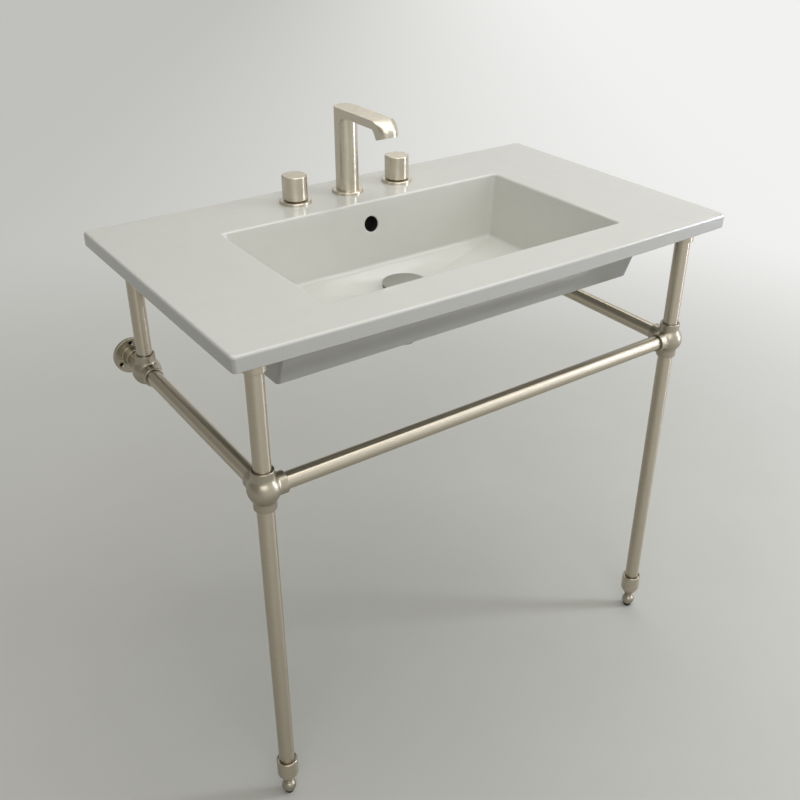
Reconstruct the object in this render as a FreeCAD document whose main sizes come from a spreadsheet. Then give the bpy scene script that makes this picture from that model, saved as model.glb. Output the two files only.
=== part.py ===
import FreeCAD, Part
import math
import os
from types import SimpleNamespace

import Sketcher

# Console bathroom sink: slab basin with a rectangular bowl, three-piece deck tap,
# pop-up waste and a stand of tubes and ball fittings fixed to the wall.
# X runs to the right, Y towards the wall and Z up. The floor is at zero height and
# the middle of the depth is at zero, so the wall stands at half the slab depth.

DRIVING_SIZES = (
    # Basin
    ("rim_height", 830.0),
    ("slab_width", 876.0),
    ("slab_depth", 520.0),
    ("slab_thickness", 23.0),
    ("slab_front_bow", 8.0),
    ("slab_corner_radius", 6.0),
    ("slab_edge_radius", 4.0),
    ("bowl_side_ledge", 169.0),
    ("bowl_from_wall", 134.0),
    ("bowl_front_ledge", 77.0),
    ("bowl_wall_depth", 107.0),
    ("bowl_side_draft", 25.0),
    ("bowl_back_draft", 22.0),
    ("bowl_front_draft", 38.0),
    ("bowl_corner_radius", 8.0),
    ("bowl_rim_radius", 2.5),
    ("apron_side_wall", 63.0),
    ("apron_back_wall", 28.0),
    ("apron_front_wall", 10.0),
    ("apron_floor_wall", 9.0),
    ("apron_corner_radius", 6.0),
    ("apron_pocket_wall", 12.0),
    ("drain_from_wall", 238.0),
    ("drain_seat_depth", 121.0),
    ("drain_seat_width", 80.0),
    ("drain_hole_diameter", 46.0),
    ("drain_boss_diameter", 88.0),
    ("drain_boss_drop", 16.0),
    ("overflow_diameter", 26.0),
    ("overflow_depth", 37.0),
    ("overflow_channel_width", 30.0),
    ("overflow_channel_depth", 10.0),
    ("overflow_channel_wall", 8.0),
    # Tap
    ("tap_from_wall", 68.0),
    ("handle_spacing", 203.2),
    ("tap_hole_diameter", 34.0),
    ("tap_shank_diameter", 28.0),
    ("tap_ring_diameter", 53.6),
    ("tap_ring_height", 4.5),
    ("tap_ring_edge", 1.8),
    ("spout_column_diameter", 38.8),
    ("spout_flat_width", 36.4),
    ("spout_height", 143.0),
    ("spout_arm_thickness", 13.0),
    ("spout_reach", 137.0),
    ("spout_nose_drop", 28.0),
    ("spout_nose_radius", 21.0),
    ("spout_nose_length", 20.0),
    ("spout_nose_tilt", 6.0),
    ("spout_nose_slope", 12.0),
    ("spout_arch_radius", 20.0),
    ("spout_socket_depth", 12.0),
    ("spout_bore_diameter", 16.0),
    ("spout_passage_height", 7.0),
    ("aerator_diameter", 16.5),
    ("aerator_height", 8.0),
    ("aerator_recess", 5.5),
    ("aerator_bore", 5.0),
    ("aerator_setback", 14.5),
    ("handle_diameter", 42.0),
    ("handle_flat_width", 39.4),
    ("handle_height", 39.0),
    ("handle_edge", 1.2),
    ("handle_gap", 2.5),
    ("handle_cavity_diameter", 32.0),
    ("handle_cavity_depth", 8.5),
    ("handle_socket_depth", 29.0),
    ("handle_screw_diameter", 4.0),
    ("handle_screw_length", 8.0),
    ("handle_screw_height", 19.0),
    ("valve_rise", 9.0),
    ("valve_floor", 4.0),
    ("valve_inlet_diameter", 20.9),
    ("valve_inlet_length", 24.0),
    ("valve_water_bore", 12.0),
    ("cartridge_diameter", 20.0),
    ("cartridge_rise", 12.0),
    ("cartridge_chamber_diameter", 16.0),
    ("fixed_disc_thickness", 7.7),
    ("moving_disc_thickness", 7.7),
    ("disc_port_diameter", 5.0),
    ("disc_port_offset", 4.2),
    ("stem_diameter", 8.0),
    ("deck_washer_diameter", 48.0),
    ("deck_washer_thickness", 3.0),
    ("deck_nut_across_flats", 41.0),
    ("deck_nut_thickness", 10.0),
    ("shank_below_slab", 36.0),
    ("tee_diameter", 36.0),
    ("tee_floor", 4.0),
    ("tee_socket_depth", 20.0),
    ("link_tube_diameter", 12.0),
    ("link_tube_wall", 1.0),
    ("link_tube_drop", 12.0),
    ("link_tube_engagement", 5.0),
    # Waste
    ("drain_flange_diameter", 66.0),
    ("drain_flange_thickness", 2.0),
    ("drain_gasket_thickness", 1.5),
    ("drain_barrel_diameter", 44.0),
    ("drain_barrel_length", 58.0),
    ("drain_barrel_bore", 34.0),
    ("drain_cone_diameter", 50.0),
    ("drain_cone_depth", 5.0),
    ("drain_port_diameter", 8.0),
    ("drain_washer_diameter", 68.0),
    ("drain_lower_gasket_thickness", 5.0),
    ("drain_nut_across_flats", 60.0),
    ("drain_nut_thickness", 10.0),
    ("drain_socket_depth", 12.0),
    ("guide_hub_diameter", 18.0),
    ("guide_hub_length", 18.0),
    ("guide_web_thickness", 4.0),
    ("guide_depth", 28.0),
    ("tailpiece_diameter", 31.75),
    ("tailpiece_wall", 1.6),
    ("tailpiece_shoulder", 0.5),
    ("tailpiece_length", 38.0),
    ("stopper_diameter", 74.0),
    ("stopper_thickness", 4.0),
    ("stopper_dome", 1.2),
    ("stopper_lift", 7.2),
    ("stopper_boss_diameter", 14.0),
    ("stopper_boss_length", 4.0),
    ("plunger_diameter", 12.0),
    ("plunger_length", 50.0),
    ("plunger_tenon_diameter", 8.0),
    ("plunger_tenon_length", 5.0),
    ("stopper_seal_inside", 54.0),
    ("stopper_seal_outside", 73.0),
    ("stopper_seal_thickness", 3.0),
    # Stand
    ("tube_diameter", 25.0),
    ("tube_wall", 1.5),
    ("leg_inset", 46.0),
    ("front_leg_inset", 48.4),
    ("rear_post_from_wall", 68.0),
    ("rail_height", 603.5),
    ("ball_diameter", 47.0),
    ("socket_diameter", 32.6),
    ("socket_reach", 31.0),
    ("socket_seat", 16.0),
    ("socket_mouth_diameter", 28.6),
    ("socket_mouth_depth", 2.0),
    ("set_screw_diameter", 4.0),
    ("set_screw_reach", 22.0),
    ("flange_diameter", 62.0),
    ("flange_thickness", 6.0),
    ("flange_edge", 1.5),
    ("flange_hub_length", 22.0),
    ("flange_screw_circle", 46.0),
    ("flange_screw_hole", 5.5),
    ("flange_countersink", 9.0),
    ("spigot_seat", 4.0),
    ("collar_height", 22.0),
    ("collar_cap", 4.0),
    ("post_pad_diameter", 28.0),
    ("post_pad_thickness", 2.0),
    ("foot_collar_diameter", 34.0),
    ("foot_collar_bottom", 33.0),
    ("foot_collar_top", 77.0),
    ("foot_collar_taper", 9.0),
    ("foot_collar_tip_diameter", 19.0),
    ("foot_collar_seat", 52.0),
    ("foot_stud_diameter", 16.0),
    ("foot_stud_top", 66.0),
    ("foot_ball_diameter", 23.0),
    ("foot_ball_height", 14.5),
    ("glide_diameter", 18.0),
    ("glide_height", 6.0),
    # Clearances
    ("slip_fit", 0.05),
    ("free_gap", 0.3),
)

UP = FreeCAD.Vector(0, 0, 1)
DOWN = FreeCAD.Vector(0, 0, -1)
RIGHT = FreeCAD.Vector(1, 0, 0)
LEFT = FreeCAD.Vector(-1, 0, 0)
BACK = FreeCAD.Vector(0, 1, 0)
FRONT = FreeCAD.Vector(0, -1, 0)

SIDES = (("left", -1, RIGHT), ("right", 1, LEFT))
HEX_CORNERS = 6
FLANGE_SCREW_ANGLES = tuple(math.radians(angle) for angle in (90, 210, 330))
TOLERANCE = 0.01


class Size:
    """A length that holds its number and the sheet expression that gives it."""

    def __init__(self, value, text):
        self.value = value
        self.text = text

    def __add__(self, other):
        other = as_size(other)
        return Size(self.value + other.value, "(%s + %s)" % (self.text, other.text))

    def __radd__(self, other):
        return as_size(other) + self

    def __sub__(self, other):
        other = as_size(other)
        return Size(self.value - other.value, "(%s - %s)" % (self.text, other.text))

    def __rsub__(self, other):
        return as_size(other) - self

    def __mul__(self, other):
        other = as_size(other)
        return Size(self.value * other.value, "(%s * %s)" % (self.text, other.text))

    def __rmul__(self, other):
        return as_size(other) * self

    def __truediv__(self, other):
        other = as_size(other)
        return Size(self.value / other.value, "(%s / %s)" % (self.text, other.text))

    def __neg__(self):
        return as_size(0) - self

    def root(self):
        return Size(math.sqrt(self.value), "sqrt(%s)" % self.text)


def as_size(item):
    if isinstance(item, Size):
        return item
    return Size(float(item), "(%s)" % float(item))


def half_chord(radius, offset):
    """Half the chord that a circle leaves on a line at the given offset from its centre."""
    return (radius * radius - offset * offset).root()


doc = FreeCAD.newDocument("console_sink")
sheet = doc.addObject("Spreadsheet::Sheet", "Sizes")
size = SimpleNamespace()
for row, (alias, millimetres) in enumerate(DRIVING_SIZES, start=1):
    sheet.set("A%d" % row, alias)
    sheet.set("B%d" % row, str(millimetres))
    sheet.setAlias("B%d" % row, alias)
    setattr(size, alias, Size(millimetres, "Sizes." + alias))
doc.recompute()

nodes = []


def node(item):
    """Marks an object of the document as a finished piece of the sink."""
    nodes.append(item)
    return item


def bind(item, **lengths):
    for name, length in lengths.items():
        item.setExpression(name, as_size(length).text)
    return item


def place(item, at, along=UP):
    item.Placement = FreeCAD.Placement(FreeCAD.Vector(), FreeCAD.Rotation(UP, along))
    for axis, coordinate in zip("xyz", at):
        item.setExpression("Placement.Base." + axis, as_size(coordinate).text)
    return item


def along_from(at, direction, distance):
    """The point at a distance from another one along a unit direction."""
    return tuple(start + distance * step for start, step in zip(at, direction))


# Solids that are cut, fused and grouped


def cylinder(name, diameter, length, at, along=UP):
    item = doc.addObject("Part::Cylinder", name)
    bind(item, Radius=diameter / 2, Height=length)
    return place(item, at, along)


def cone(name, near_diameter, far_diameter, length, at, along=UP):
    item = doc.addObject("Part::Cone", name)
    bind(item, Radius1=near_diameter / 2, Radius2=far_diameter / 2, Height=length)
    return place(item, at, along)


def ball(name, diameter, at):
    item = doc.addObject("Part::Sphere", name)
    bind(item, Radius=diameter / 2)
    return place(item, at)


def block(name, width, depth, height, corner):
    item = doc.addObject("Part::Box", name)
    bind(item, Length=width, Width=depth, Height=height)
    return place(item, corner)


def hexagon(name, across_flats, height, at):
    item = doc.addObject("Part::Prism", name)
    item.Polygon = HEX_CORNERS
    bind(item, Circumradius=across_flats / as_size(3).root(), Height=height)
    return place(item, at)


def fuse(name, items):
    item = doc.addObject("Part::MultiFuse", name)
    item.Shapes = items
    item.Refine = True
    return item


def cut(name, base, tools):
    item = doc.addObject("Part::Cut", name)
    item.Base = base
    item.Tool = tools[0] if len(tools) == 1 else fuse(name + "_holes", tools)
    return item


def group(name, items):
    item = doc.addObject("Part::Compound", name)
    item.Links = items
    return item


# Sketched bodies


def sketch_on(body, role, name, offset=0):
    plane = [feature for feature in body.Origin.OriginFeatures if feature.Role == role][0]
    sketch = body.newObject("Sketcher::SketchObject", name)
    sketch.AttachmentSupport = (plane, [""])
    sketch.MapMode = "FlatFace"
    sketch.setExpression("AttachmentOffset.Base.z", as_size(offset).text)
    return sketch


def constrain(sketch, length, *reference):
    index = sketch.addConstraint(Sketcher.Constraint(*reference, length.value))
    sketch.setExpression("Constraints[%d]" % index, length.text)


def pin_point(sketch, geometry, point, x, y):
    constrain(sketch, as_size(x), "DistanceX", -1, 1, geometry, point)
    constrain(sketch, as_size(y), "DistanceY", -1, 1, geometry, point)


def arc_between(start, end, radius, turn):
    """The short arc from start to end, turning left for a positive turn and right otherwise."""
    chord = end - start
    rise = math.sqrt(max(radius * radius - chord.Length * chord.Length / 4, 0.0))
    across = FreeCAD.Vector(-chord.y, chord.x, 0).normalize()
    centre = (start + end) * 0.5 + across * (rise * turn)
    first, last = (start, end) if turn > 0 else (end, start)
    from_angle = math.atan2(first.y - centre.y, first.x - centre.x)
    to_angle = math.atan2(last.y - centre.y, last.x - centre.x)
    return Part.ArcOfCircle(Part.Circle(centre, UP, radius), from_angle, to_angle)


def draw(sketch, corners):
    """Closes a path. A corner is (x, y), or (x, y, radius, turn) where an arc leaves it."""
    points = [FreeCAD.Vector(as_size(c[0]).value, as_size(c[1]).value, 0) for c in corners]
    ends = []
    for place_in_path, corner in enumerate(corners):
        start = points[place_in_path]
        end = points[(place_in_path + 1) % len(points)]
        if len(corner) == 2:
            index = sketch.addGeometry(Part.LineSegment(start, end), False)
            ends.append((index, 1, 2))
            continue
        radius, turn = corner[2:]
        index = sketch.addGeometry(arc_between(start, end, radius.value, turn), False)
        ends.append((index, 1, 2) if turn > 0 else (index, 2, 1))
    for place_in_path, corner in enumerate(corners):
        index, first, last = ends[place_in_path]
        after, after_first, _ = ends[(place_in_path + 1) % len(ends)]
        sketch.addConstraint(Sketcher.Constraint("Coincident", index, last, after, after_first))
        pin_point(sketch, index, first, corner[0], corner[1])
        if len(corner) > 2:
            constrain(sketch, corner[2], "Radius", index)


def draw_circle(sketch, diameter, x, y):
    radius = diameter / 2
    centre = FreeCAD.Vector(as_size(x).value, as_size(y).value, 0)
    index = sketch.addGeometry(Part.Circle(centre, UP, radius.value), False)
    pin_point(sketch, index, 3, x, y)
    constrain(sketch, radius, "Radius", index)


def rectangle(left, right, front, back):
    return ((left, front), (right, front), (right, back), (left, back))


def flatted_round(diameter, flat_width, y):
    """A round section about (0, y) with flats on its left and right."""
    radius = diameter / 2
    flat = flat_width / 2
    rise = half_chord(radius, flat)
    return (
        (-flat, y - rise, radius, 1),
        (flat, y - rise),
        (flat, y + rise, radius, 1),
        (-flat, y + rise),
    )


def pad(body, name, sketch, length, downwards=False):
    feature = body.newObject("PartDesign::Pad", name)
    feature.Profile = sketch
    feature.Reversed = downwards
    return bind(feature, Length=length)


def pocket(body, name, sketch, depth, upwards=False):
    feature = body.newObject("PartDesign::Pocket", name)
    feature.Profile = sketch
    feature.Reversed = upwards
    return bind(feature, Length=depth)


def loft(body, kind, name, first, last):
    feature = body.newObject("PartDesign::" + kind, name)
    feature.Profile = first
    feature.Sections = [last]
    feature.Ruled = True
    return feature


def fillet(body, name, radius, wanted):
    """Rounds the edges of the body whose bounding box the test accepts."""
    doc.recompute()
    base = body.Tip
    edges = [
        "Edge%d" % number
        for number, edge in enumerate(base.Shape.Edges, start=1)
        if wanted(edge.BoundBox)
    ]
    feature = body.newObject("PartDesign::Fillet", name)
    feature.Base = (base, edges)
    return bind(feature, Radius=radius)


def turned(label, profile, at=(0, 0, 0), along=UP):
    """A piece turned about its own axis from (radius, height) corners."""
    body = doc.addObject("PartDesign::Body", label)
    sketch = sketch_on(body, "XZ_Plane", label + "_profile")
    draw(sketch, profile)
    feature = body.newObject("PartDesign::Revolution", label + "_turning")
    feature.Profile = sketch
    feature.ReferenceAxis = (sketch, ["V_Axis"])
    return place(body, at, along)


def ring_profile(inside, outside, bottom, top):
    return ((inside / 2, bottom), (outside / 2, bottom), (outside / 2, top), (inside / 2, top))


def at_height(level, tolerance=TOLERANCE):
    return lambda box: abs(box.ZMin - level.value) < tolerance and abs(box.ZMax - level.value) < tolerance


# Places that several pieces share

wall = size.slab_depth / 2
rim = size.rim_height
slab_bottom = rim - size.slab_thickness
drain_y = wall - size.drain_from_wall
drain_seat = rim - size.drain_seat_depth
tap_y = wall - size.tap_from_wall
handle_x = size.handle_spacing / 2
slab_side = size.slab_width / 2
leg_x = slab_side - size.leg_inset
front_y = size.front_leg_inset - wall
rear_y = wall - size.rear_post_from_wall
rail_z = size.rail_height
tube_bore = size.tube_diameter - 2 * size.tube_wall
tube_socket = size.tube_diameter + 2 * size.slip_fit
post_top = slab_bottom - size.post_pad_thickness - size.collar_cap

bowl_back = wall - size.bowl_from_wall
bowl_front = size.bowl_front_ledge - wall
bowl_floor = rim - size.bowl_wall_depth
bowl_side = slab_side - size.bowl_side_ledge
apron_bottom = bowl_floor - size.apron_floor_wall
apron_side = bowl_side + size.apron_side_wall
apron_back = bowl_back + size.apron_back_wall
belly_bottom = drain_seat - size.apron_floor_wall
boss_bottom = belly_bottom - size.drain_boss_drop
duct_bottom = boss_bottom + size.overflow_channel_wall
duct_top = duct_bottom + size.overflow_channel_depth


def bowl_front_at(height):
    """The bowl's sloping front wall at a height."""
    return bowl_front + size.bowl_front_draft * (rim - height) / size.bowl_wall_depth


# Basin

basin = node(doc.addObject("PartDesign::Body", "basin"))

slab_front_corner = size.slab_front_bow - wall
slab_front_radius = (slab_side * slab_side + size.slab_front_bow * size.slab_front_bow) / (
    2 * size.slab_front_bow
)
slab_sketch = sketch_on(basin, "XY_Plane", "slab_outline", slab_bottom)
draw(
    slab_sketch,
    (
        (-slab_side, wall),
        (-slab_side, slab_front_corner, slab_front_radius, 1),
        (slab_side, slab_front_corner),
        (slab_side, wall),
    ),
)
pad(basin, "slab", slab_sketch, size.slab_thickness)
fillet(
    basin,
    "slab_corners",
    size.slab_corner_radius,
    lambda box: box.ZLength > size.slab_thickness.value - TOLERANCE,
)

apron_sections = []
for name, height in (("apron_top", slab_bottom), ("apron_floor", apron_bottom)):
    section = sketch_on(basin, "XY_Plane", name, height)
    front = bowl_front_at(height) - size.apron_front_wall
    draw(section, rectangle(-apron_side, apron_side, front, apron_back))
    apron_sections.append(section)
loft(basin, "AdditiveLoft", "apron", *apron_sections)
fillet(
    basin,
    "apron_corners",
    size.apron_corner_radius,
    lambda box: box.ZMin < slab_bottom.value - TOLERANCE
    and box.ZLength > slab_bottom.value - apron_bottom.value - TOLERANCE,
)

seat_half = size.drain_seat_width / 2
floor_outlines = (
    rectangle(
        size.bowl_side_draft + size.bowl_corner_radius - bowl_side,
        bowl_side - size.bowl_side_draft - size.bowl_corner_radius,
        bowl_front_at(bowl_floor) + size.bowl_corner_radius,
        bowl_back - size.bowl_back_draft - size.bowl_corner_radius,
    ),
    rectangle(-seat_half, seat_half, drain_y - seat_half, drain_y + seat_half),
)


def floor_loft(kind, name, heights):
    """A shallow four-sided funnel from the edge of the bowl's floor to the drain's seat."""
    sections = []
    for end, height, outline in zip(("edge", "seat"), heights, floor_outlines):
        section = sketch_on(basin, "XY_Plane", "%s_%s" % (name, end), height)
        draw(section, outline)
        sections.append(section)
    loft(basin, kind, name, *sections)


floor_loft("AdditiveLoft", "belly", (apron_bottom, belly_bottom))

boss_top = drain_seat - size.apron_floor_wall / 2
boss_sketch = sketch_on(basin, "XY_Plane", "drain_boss_outline", boss_bottom)
draw_circle(boss_sketch, size.drain_boss_diameter, 0, drain_y)
pad(basin, "drain_boss", boss_sketch, boss_top - boss_bottom)

channel_side = size.overflow_channel_width / 2
channel_back = apron_back - size.overflow_channel_wall
channel_front = channel_back - size.overflow_channel_depth
duct_side = channel_side + size.overflow_channel_wall
duct_sketch = sketch_on(basin, "XY_Plane", "overflow_duct_outline", boss_bottom)
draw(duct_sketch, rectangle(-duct_side, duct_side, drain_y, apron_back))
pad(basin, "overflow_duct", duct_sketch, apron_bottom - boss_bottom)

bowl_sections = []
for name, height, side, back in (
    ("bowl_rim", rim, bowl_side, bowl_back),
    ("bowl_foot", bowl_floor, bowl_side - size.bowl_side_draft, bowl_back - size.bowl_back_draft),
):
    section = sketch_on(basin, "XY_Plane", name, height)
    draw(section, rectangle(-side, side, bowl_front_at(height), back))
    bowl_sections.append(section)
loft(basin, "SubtractiveLoft", "bowl", *bowl_sections)
fillet(
    basin,
    "bowl_corners",
    size.bowl_corner_radius,
    lambda box: box.ZMax > rim.value - TOLERANCE
    and abs(box.ZLength - size.bowl_wall_depth.value) < TOLERANCE,
)

floor_loft("SubtractiveLoft", "floor_fall", (bowl_floor, drain_seat))

pocket_inner = bowl_side + size.apron_pocket_wall
pocket_outer = apron_side - size.apron_pocket_wall
pocket_front = bowl_front_at(apron_bottom) - size.apron_front_wall + size.apron_pocket_wall
pocket_sketch = sketch_on(basin, "XY_Plane", "side_pocket_outlines", apron_bottom)
for left, right in ((-pocket_outer, -pocket_inner), (pocket_inner, pocket_outer)):
    draw(pocket_sketch, rectangle(left, right, pocket_front, apron_back - size.apron_pocket_wall))
pocket(basin, "side_pockets", pocket_sketch, slab_bottom - apron_bottom, upwards=True)

hole_sketch = sketch_on(basin, "XY_Plane", "drain_hole_outline", bowl_floor)
draw_circle(hole_sketch, size.drain_hole_diameter, 0, drain_y)
pocket(basin, "drain_hole", hole_sketch, bowl_floor - boss_bottom)

overflow_z = rim - size.overflow_depth
channel_sketch = sketch_on(
    basin, "XY_Plane", "overflow_channel_outline", overflow_z + size.overflow_diameter / 2
)
draw(channel_sketch, rectangle(-channel_side, channel_side, channel_front, channel_back))
pocket(
    basin,
    "overflow_channel",
    channel_sketch,
    overflow_z + size.overflow_diameter / 2 - duct_bottom,
)
way_sketch = sketch_on(basin, "XY_Plane", "overflow_way_outline", duct_top)
draw(way_sketch, rectangle(-channel_side, channel_side, drain_y, channel_back))
pocket(basin, "overflow_way", way_sketch, size.overflow_channel_depth)
overflow_start = bowl_back - size.bowl_back_draft
overflow_sketch = sketch_on(basin, "XZ_Plane", "overflow_outline", -overflow_start)
draw_circle(overflow_sketch, size.overflow_diameter, 0, overflow_z)
pocket(basin, "overflow_hole", overflow_sketch, channel_back - overflow_start)

tap_sketch = sketch_on(basin, "XY_Plane", "tap_hole_outline", rim)
for x in (-handle_x, 0, handle_x):
    draw_circle(tap_sketch, size.tap_hole_diameter, x, tap_y)
pocket(basin, "tap_holes", tap_sketch, size.slab_thickness)


def on_bowl_rim(box):
    inside = max(abs(box.XMin), abs(box.XMax)) < bowl_side.value + TOLERANCE
    return at_height(rim)(box) and inside and box.YMax < bowl_back.value + TOLERANCE and (
        box.YMin > bowl_front.value - TOLERANCE
    )


def on_slab_edge(box):
    at_side = max(abs(box.XMin), abs(box.XMax)) > bowl_side.value + size.apron_side_wall.value
    return at_height(rim)(box) and at_side


fillet(basin, "bowl_rim_edge", size.bowl_rim_radius, on_bowl_rim)
fillet(basin, "slab_top_edge", size.slab_edge_radius, on_slab_edge)

# Tap: rings, spout and handles

ring_top = rim + size.tap_ring_height
shank_hole = size.tap_shank_diameter + 2 * size.slip_fit
ring_profile_rounded = (
    (shank_hole / 2, 0),
    (size.tap_ring_diameter / 2, 0),
    (size.tap_ring_diameter / 2, size.tap_ring_height - size.tap_ring_edge, size.tap_ring_edge, 1),
    (size.tap_ring_diameter / 2 - size.tap_ring_edge, size.tap_ring_height),
    (shank_hole / 2, size.tap_ring_height),
)
node(turned("spout_ring", ring_profile_rounded, (0, tap_y, rim)))

spout_top = rim + size.spout_height
arm_bottom = spout_top - size.spout_arm_thickness
nose_bottom = spout_top - size.spout_nose_drop
column_radius = size.spout_column_diameter / 2
column_crease = half_chord(column_radius, size.spout_flat_width / 2)
arch_start = column_crease + size.spout_arch_radius
nose_centre = size.spout_reach - column_radius
nose_back = size.spout_reach - size.spout_nose_length
arm_end = nose_back - size.spout_nose_slope


def forward(distance):
    """A place along the spout's arm, counted from the axis of its column."""
    return tap_y - distance


spout = node(doc.addObject("PartDesign::Body", "spout"))
arm_sketch = sketch_on(spout, "YZ_Plane", "arm_profile")
draw(
    arm_sketch,
    (
        (forward(0), spout_top),
        (forward(size.spout_reach - size.spout_nose_radius), spout_top, size.spout_nose_radius, 1),
        (forward(size.spout_reach), spout_top - size.spout_nose_radius),
        (forward(size.spout_reach), nose_bottom + size.spout_nose_tilt),
        (forward(nose_back), nose_bottom),
        (forward(arm_end), arm_bottom),
        (forward(arch_start), arm_bottom, size.spout_arch_radius, 1),
        (forward(column_crease), arm_bottom - size.spout_arch_radius),
        (forward(0), arm_bottom - size.spout_arch_radius),
    ),
)
arm = pad(spout, "arm", arm_sketch, size.spout_flat_width)
arm.SideType = "Symmetric"

trim_margin = size.spout_column_diameter
trim_sketch = sketch_on(spout, "XY_Plane", "nose_trim", spout_top)
nose_y = forward(nose_centre)
spout_half = size.spout_flat_width / 2
trim_front = forward(size.spout_reach + trim_margin)
draw(
    trim_sketch,
    (
        (-spout_half, nose_y - column_crease, column_radius, 1),
        (spout_half, nose_y - column_crease),
        (spout_half + trim_margin, nose_y - column_crease),
        (spout_half + trim_margin, trim_front),
        (-spout_half - trim_margin, trim_front),
        (-spout_half - trim_margin, nose_y - column_crease),
    ),
)
pocket(spout, "nose_round", trim_sketch, size.spout_height)

column_sketch = sketch_on(spout, "XY_Plane", "column_section", ring_top)
draw(column_sketch, flatted_round(size.spout_column_diameter, size.spout_flat_width, tap_y))
pad(spout, "column", column_sketch, spout_top - ring_top)

socket_sketch = sketch_on(spout, "XY_Plane", "shank_socket_outline", ring_top)
draw_circle(socket_sketch, shank_hole, 0, tap_y)
pocket(spout, "shank_socket", socket_sketch, size.spout_socket_depth, upwards=True)

passage_middle = arm_bottom + size.spout_arm_thickness / 2
passage_bottom = passage_middle - size.spout_passage_height / 2
bore_sketch = sketch_on(spout, "XY_Plane", "water_bore_outline", ring_top)
draw_circle(bore_sketch, size.spout_bore_diameter, 0, tap_y)
pocket(spout, "water_bore", bore_sketch, passage_middle - ring_top, upwards=True)

aerator_y = forward(size.spout_reach - size.aerator_setback)
aerator_bore = size.aerator_diameter + 2 * size.slip_fit
passage_sketch = sketch_on(spout, "XY_Plane", "arm_passage_outline", passage_bottom)
draw(
    passage_sketch,
    rectangle(-aerator_bore / 2, aerator_bore / 2, aerator_y, forward(0)),
)
pocket(spout, "arm_passage", passage_sketch, size.spout_passage_height, upwards=True)
outlet_sketch = sketch_on(spout, "XY_Plane", "outlet_outline", nose_bottom)
draw_circle(outlet_sketch, aerator_bore, 0, aerator_y)
pocket(spout, "outlet", outlet_sketch, passage_middle - nose_bottom, upwards=True)

aerator_bottom = nose_bottom + size.aerator_recess
node(
    turned(
        "aerator",
        ring_profile(size.aerator_bore, size.aerator_diameter, 0, size.aerator_height),
        (0, aerator_y, aerator_bottom),
    )
)

shank_bottom = slab_bottom - size.shank_below_slab
node(
    turned(
        "spout_shank",
        ring_profile(
            size.spout_bore_diameter,
            size.tap_shank_diameter,
            0,
            ring_top + size.spout_socket_depth - shank_bottom,
        ),
        (0, tap_y, shank_bottom),
    )
)

link_z = shank_bottom - size.link_tube_drop
link_bore = size.link_tube_diameter + 2 * size.slip_fit
tee_top = shank_bottom + size.tee_socket_depth
tee_inside_bottom = link_z - link_bore / 2
tee_bottom = tee_inside_bottom - size.tee_floor
tee_body = turned(
    "spout_tee_body",
    (
        (0, tee_bottom),
        (size.tee_diameter / 2, tee_bottom),
        (size.tee_diameter / 2, tee_top),
        (shank_hole / 2, tee_top),
        (shank_hole / 2, shank_bottom),
        (size.spout_bore_diameter / 2, shank_bottom),
        (size.spout_bore_diameter / 2, tee_inside_bottom),
        (0, tee_inside_bottom),
    ),
    (0, tap_y, 0),
)
tee_way = cylinder(
    "tee_way", link_bore, size.tee_diameter, (-size.tee_diameter / 2, tap_y, link_z), RIGHT
)
node(cut("spout_tee", tee_body, [tee_way]))

handle_bottom = ring_top + size.handle_gap
handle_screw_z = handle_bottom + size.handle_screw_height
stem_socket = size.stem_diameter + 2 * size.slip_fit
stem_top = handle_bottom + size.handle_socket_depth
chamber_top = link_z + link_bore / 2
moving_disc_top = link_z - link_bore / 2
moving_disc_bottom = moving_disc_top - size.moving_disc_thickness
cartridge_bottom = moving_disc_bottom - size.free_gap - size.fixed_disc_thickness
cartridge_top = rim + size.cartridge_rise
cartridge_bore = size.cartridge_diameter + 2 * size.slip_fit
valve_top = rim + size.valve_rise
valve_bottom = cartridge_bottom - size.valve_floor
valve_radius = size.tap_shank_diameter / 2
inlet_bottom = valve_bottom - size.valve_inlet_length
disc_diameter = size.cartridge_chamber_diameter - 2 * size.free_gap

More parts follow.
